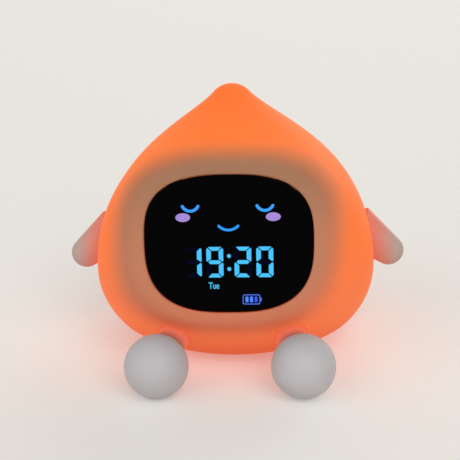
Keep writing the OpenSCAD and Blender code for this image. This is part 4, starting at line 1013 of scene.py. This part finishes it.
# ---- rear panel and speaker ----
# A panel of fine matt plastic fills the skin's rear opening, over a black speaker. Small grey
# signs are printed on it: a dial, arrows up and down, a lamp, and a bar and a ring.
PANEL_Y, PRINT_PROUD, SIGN_UP = PANEL_LIP_Y - 0.8, 0.015, 5.1
DIAL_X, ARROW_X, PORT_X = 3.4, 13.6, 24
TOP_ROW, LOW_ROW = PANEL_Z + 5.1 + SIGN_UP, PANEL_Z - 5.1 + SIGN_UP
SWITCH_X, SWITCH_Z = PORT_X - 3.1, PANEL_Z + 4.2
dress(moulded("matt panel plastic", (0.74, 0.70, 0.65), 0.5, 1800, 0.00005), "rear_panel")
dress(moulded("black speaker", (0.03, 0.03, 0.032), 0.45, 1200, 0.00003), "speaker")
print_ink = moulded("grey print", (0.09, 0.085, 0.08), 0.6, 2500, 0.00001)


def printed_ring(cx, cz, r0, r1, n=36):
    t = np.linspace(0, 2 * math.pi, n + 1)
    return [[(cx + r * math.cos(w), cz + r * math.sin(w)) for r, w in
             ((r0, u), (r1, u), (r1, v), (r0, v))] for u, v in zip(t[:-1], t[1:])]


def printed_line(x0, z0, x1, z1, width):
    length = math.hypot(x1 - x0, z1 - z0)
    nx, nz = -(z1 - z0) / length * width / 2, (x1 - x0) / length * width / 2
    return [(x0 + nx, z0 + nz), (x1 + nx, z1 + nz), (x1 - nx, z1 - nz), (x0 - nx, z0 - nz)]


prints = printed_ring(DIAL_X, TOP_ROW, 0.8, 1.05)
prints += [printed_line(DIAL_X, TOP_ROW, DIAL_X, TOP_ROW + 0.62, 0.22),
           printed_line(DIAL_X, TOP_ROW, DIAL_X - 0.45, TOP_ROW - 0.1, 0.22)]
prints += [[(ARROW_X - 1, row - 0.7 * up), (ARROW_X + 1, row - 0.7 * up), (ARROW_X, row + 0.9 * up)]
           for row, up in ((TOP_ROW, 1), (LOW_ROW, -1))]
prints += printed_ring(DIAL_X, LOW_ROW, 0.42, 0.62)
prints += [printed_line(SWITCH_X, SWITCH_Z + 2.4, SWITCH_X, SWITCH_Z + 3.6, 0.24)]
prints += printed_ring(SWITCH_X, SWITCH_Z - 0.4, 0.42, 0.64)
pts, polys = chained(prints)
panel_print = add_mesh("panel_print", [(px, PANEL_Y + PRINT_PROUD, pz) for px, pz in pts], polys,
                       smooth=False)
face_towards(panel_print.data, 1)
panel_print.data.materials.append(print_ink)
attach(panel_print, "clock")

# the rays of the lamp sign
rays, given, last = new_tree("Ray marks", Count=8, Inner_Radius=0.00096, Length=0.00034,
                             Width=0.0002)
spots = shape(rays, "MeshCircle", {"Vertices": given["Count"], "Radius": given["Inner Radius"]})
mark = shape(rays, "MeshGrid", {"Size X": given["Length"], "Size Y": given["Width"],
                                "Vertices X": 2, "Vertices Y": 2})
outwards = add_node(rays, "FunctionNodeAlignRotationToVector",
                    {"Vector": shape(rays, "InputPosition")}, axis="X")
around_lamp = shape(rays, "InstanceOnPoints", {"Points": spots, "Instance": mark,
                                               "Rotation": outwards.outputs[0]})
close_tree(rays, around_lamp, given, last)
run_tree("lamp_rays", rays, print_ink, facing=1, Turn=(-math.pi / 2, 0.0, 0.0),
         Place=(DIAL_X * MM, (PANEL_Y + PRINT_PROUD) * MM, LOW_ROW * MM))

# ---- buttons, power knob and charging socket ----
# Four soft silicone buttons stand a little proud of the panel. The slide switch's knob is dark
# plastic with four grip ribs. The socket is a rolled steel shell round a black tongue, which
# has gold contacts on both sides.
KNOB_FACE, RIBS, RIB_SIZE, RIB_PITCH = PANEL_Y + 0.9, 4, (2.2, 0.4, 0.3), 0.8
SOCKET_Z, TONGUE_SIDE, TONGUE_END = PANEL_Z - 5.6, (0.4, 0.45), (3.4, 3.5)
CONTACT_SIZE, CONTACT_PITCH, CONTACTS = (0.04, 3.6, 0.25), 0.5, 12
CONTACT_X, CONTACT_Y = 0.35, 40.0
TONGUE_BLACK, SHELL_STEEL = (0.012, 0.012, 0.013), (0.62, 0.62, 0.64)
dress(moulded("button silicone", (0.86, 0.42, 0.24), 0.5, 1400, 0.00004),
      "button_set", "button_up", "button_down", "button_light")
knob_plastic = moulded("dark knob plastic", (0.035, 0.035, 0.038), 0.42, 1800, 0.00003)
dress(knob_plastic, "power_knob")


def in_metres(*size):
    return tuple(float(c) * MM for c in size)


strips, given, last = new_tree("Row of strips", Count=RIBS, Pitch=RIB_PITCH * MM,
                               Size=in_metres(*RIB_SIZE))
strip = shape(strips, "MeshCube", {"Size": given["Size"]})
lowest = (given["Count"] - 1.0) * given["Pitch"] * -0.5
steps = shape(strips, "MeshLine", {
    "Count": given["Count"], "Start Location": combine(strips, z=lowest),
    "Offset": combine(strips, z=given["Pitch"])}, mode="OFFSET")
row = shape(strips, "InstanceOnPoints", {"Points": steps, "Instance": strip})
close_tree(strips, row, given, last)
ribs = run_tree("knob_ribs", strips, knob_plastic, body="power_knob",
                Place=in_metres(PORT_X, KNOB_FACE, SWITCH_Z))

socket_shell, tree, shader = new_material("socket shell and tongue", Roughness=0.3)
x, y, z = axes_of(tree, object_place(tree))
bare = calculate("MAXIMUM", smooth_step(abs(x - PORT_X * MM), TONGUE_SIDE, MM),
                 smooth_step(abs(z - SOCKET_Z * MM), TONGUE_END, MM))
blend(shader, "Base Color", bare, TONGUE_BLACK, SHELL_STEEL)
connect(bare, shader.inputs["Metallic"])
apply_effect(brushed_metal, tree, shader, 0.000002, Scale=3000)
dress(socket_shell, "usb_socket")
gold = moulded("contact gold", (0.8, 0.58, 0.2), 0.25, 2500, 0.000002, brushed_metal, 1.0)
for side, name in ((-1, "contacts_left"), (1, "contacts_right")):
    run_tree(name, strips, gold, Count=CONTACTS, Pitch=CONTACT_PITCH * MM,
             Size=in_metres(*CONTACT_SIZE),
             Place=in_metres(PORT_X + side * CONTACT_X, CONTACT_Y, SOCKET_Z))

# ---- base pad ----
# A round pad of grey foam rubber, glued over the bottom cover, on which the clock rests.
# It is cut from sheet, so its face is even and its edge is square.
dress(moulded("foam rubber", (0.13, 0.13, 0.134), 0.85, 1100, 0.00012), "base_pad")

bpy.context.view_layer.update()
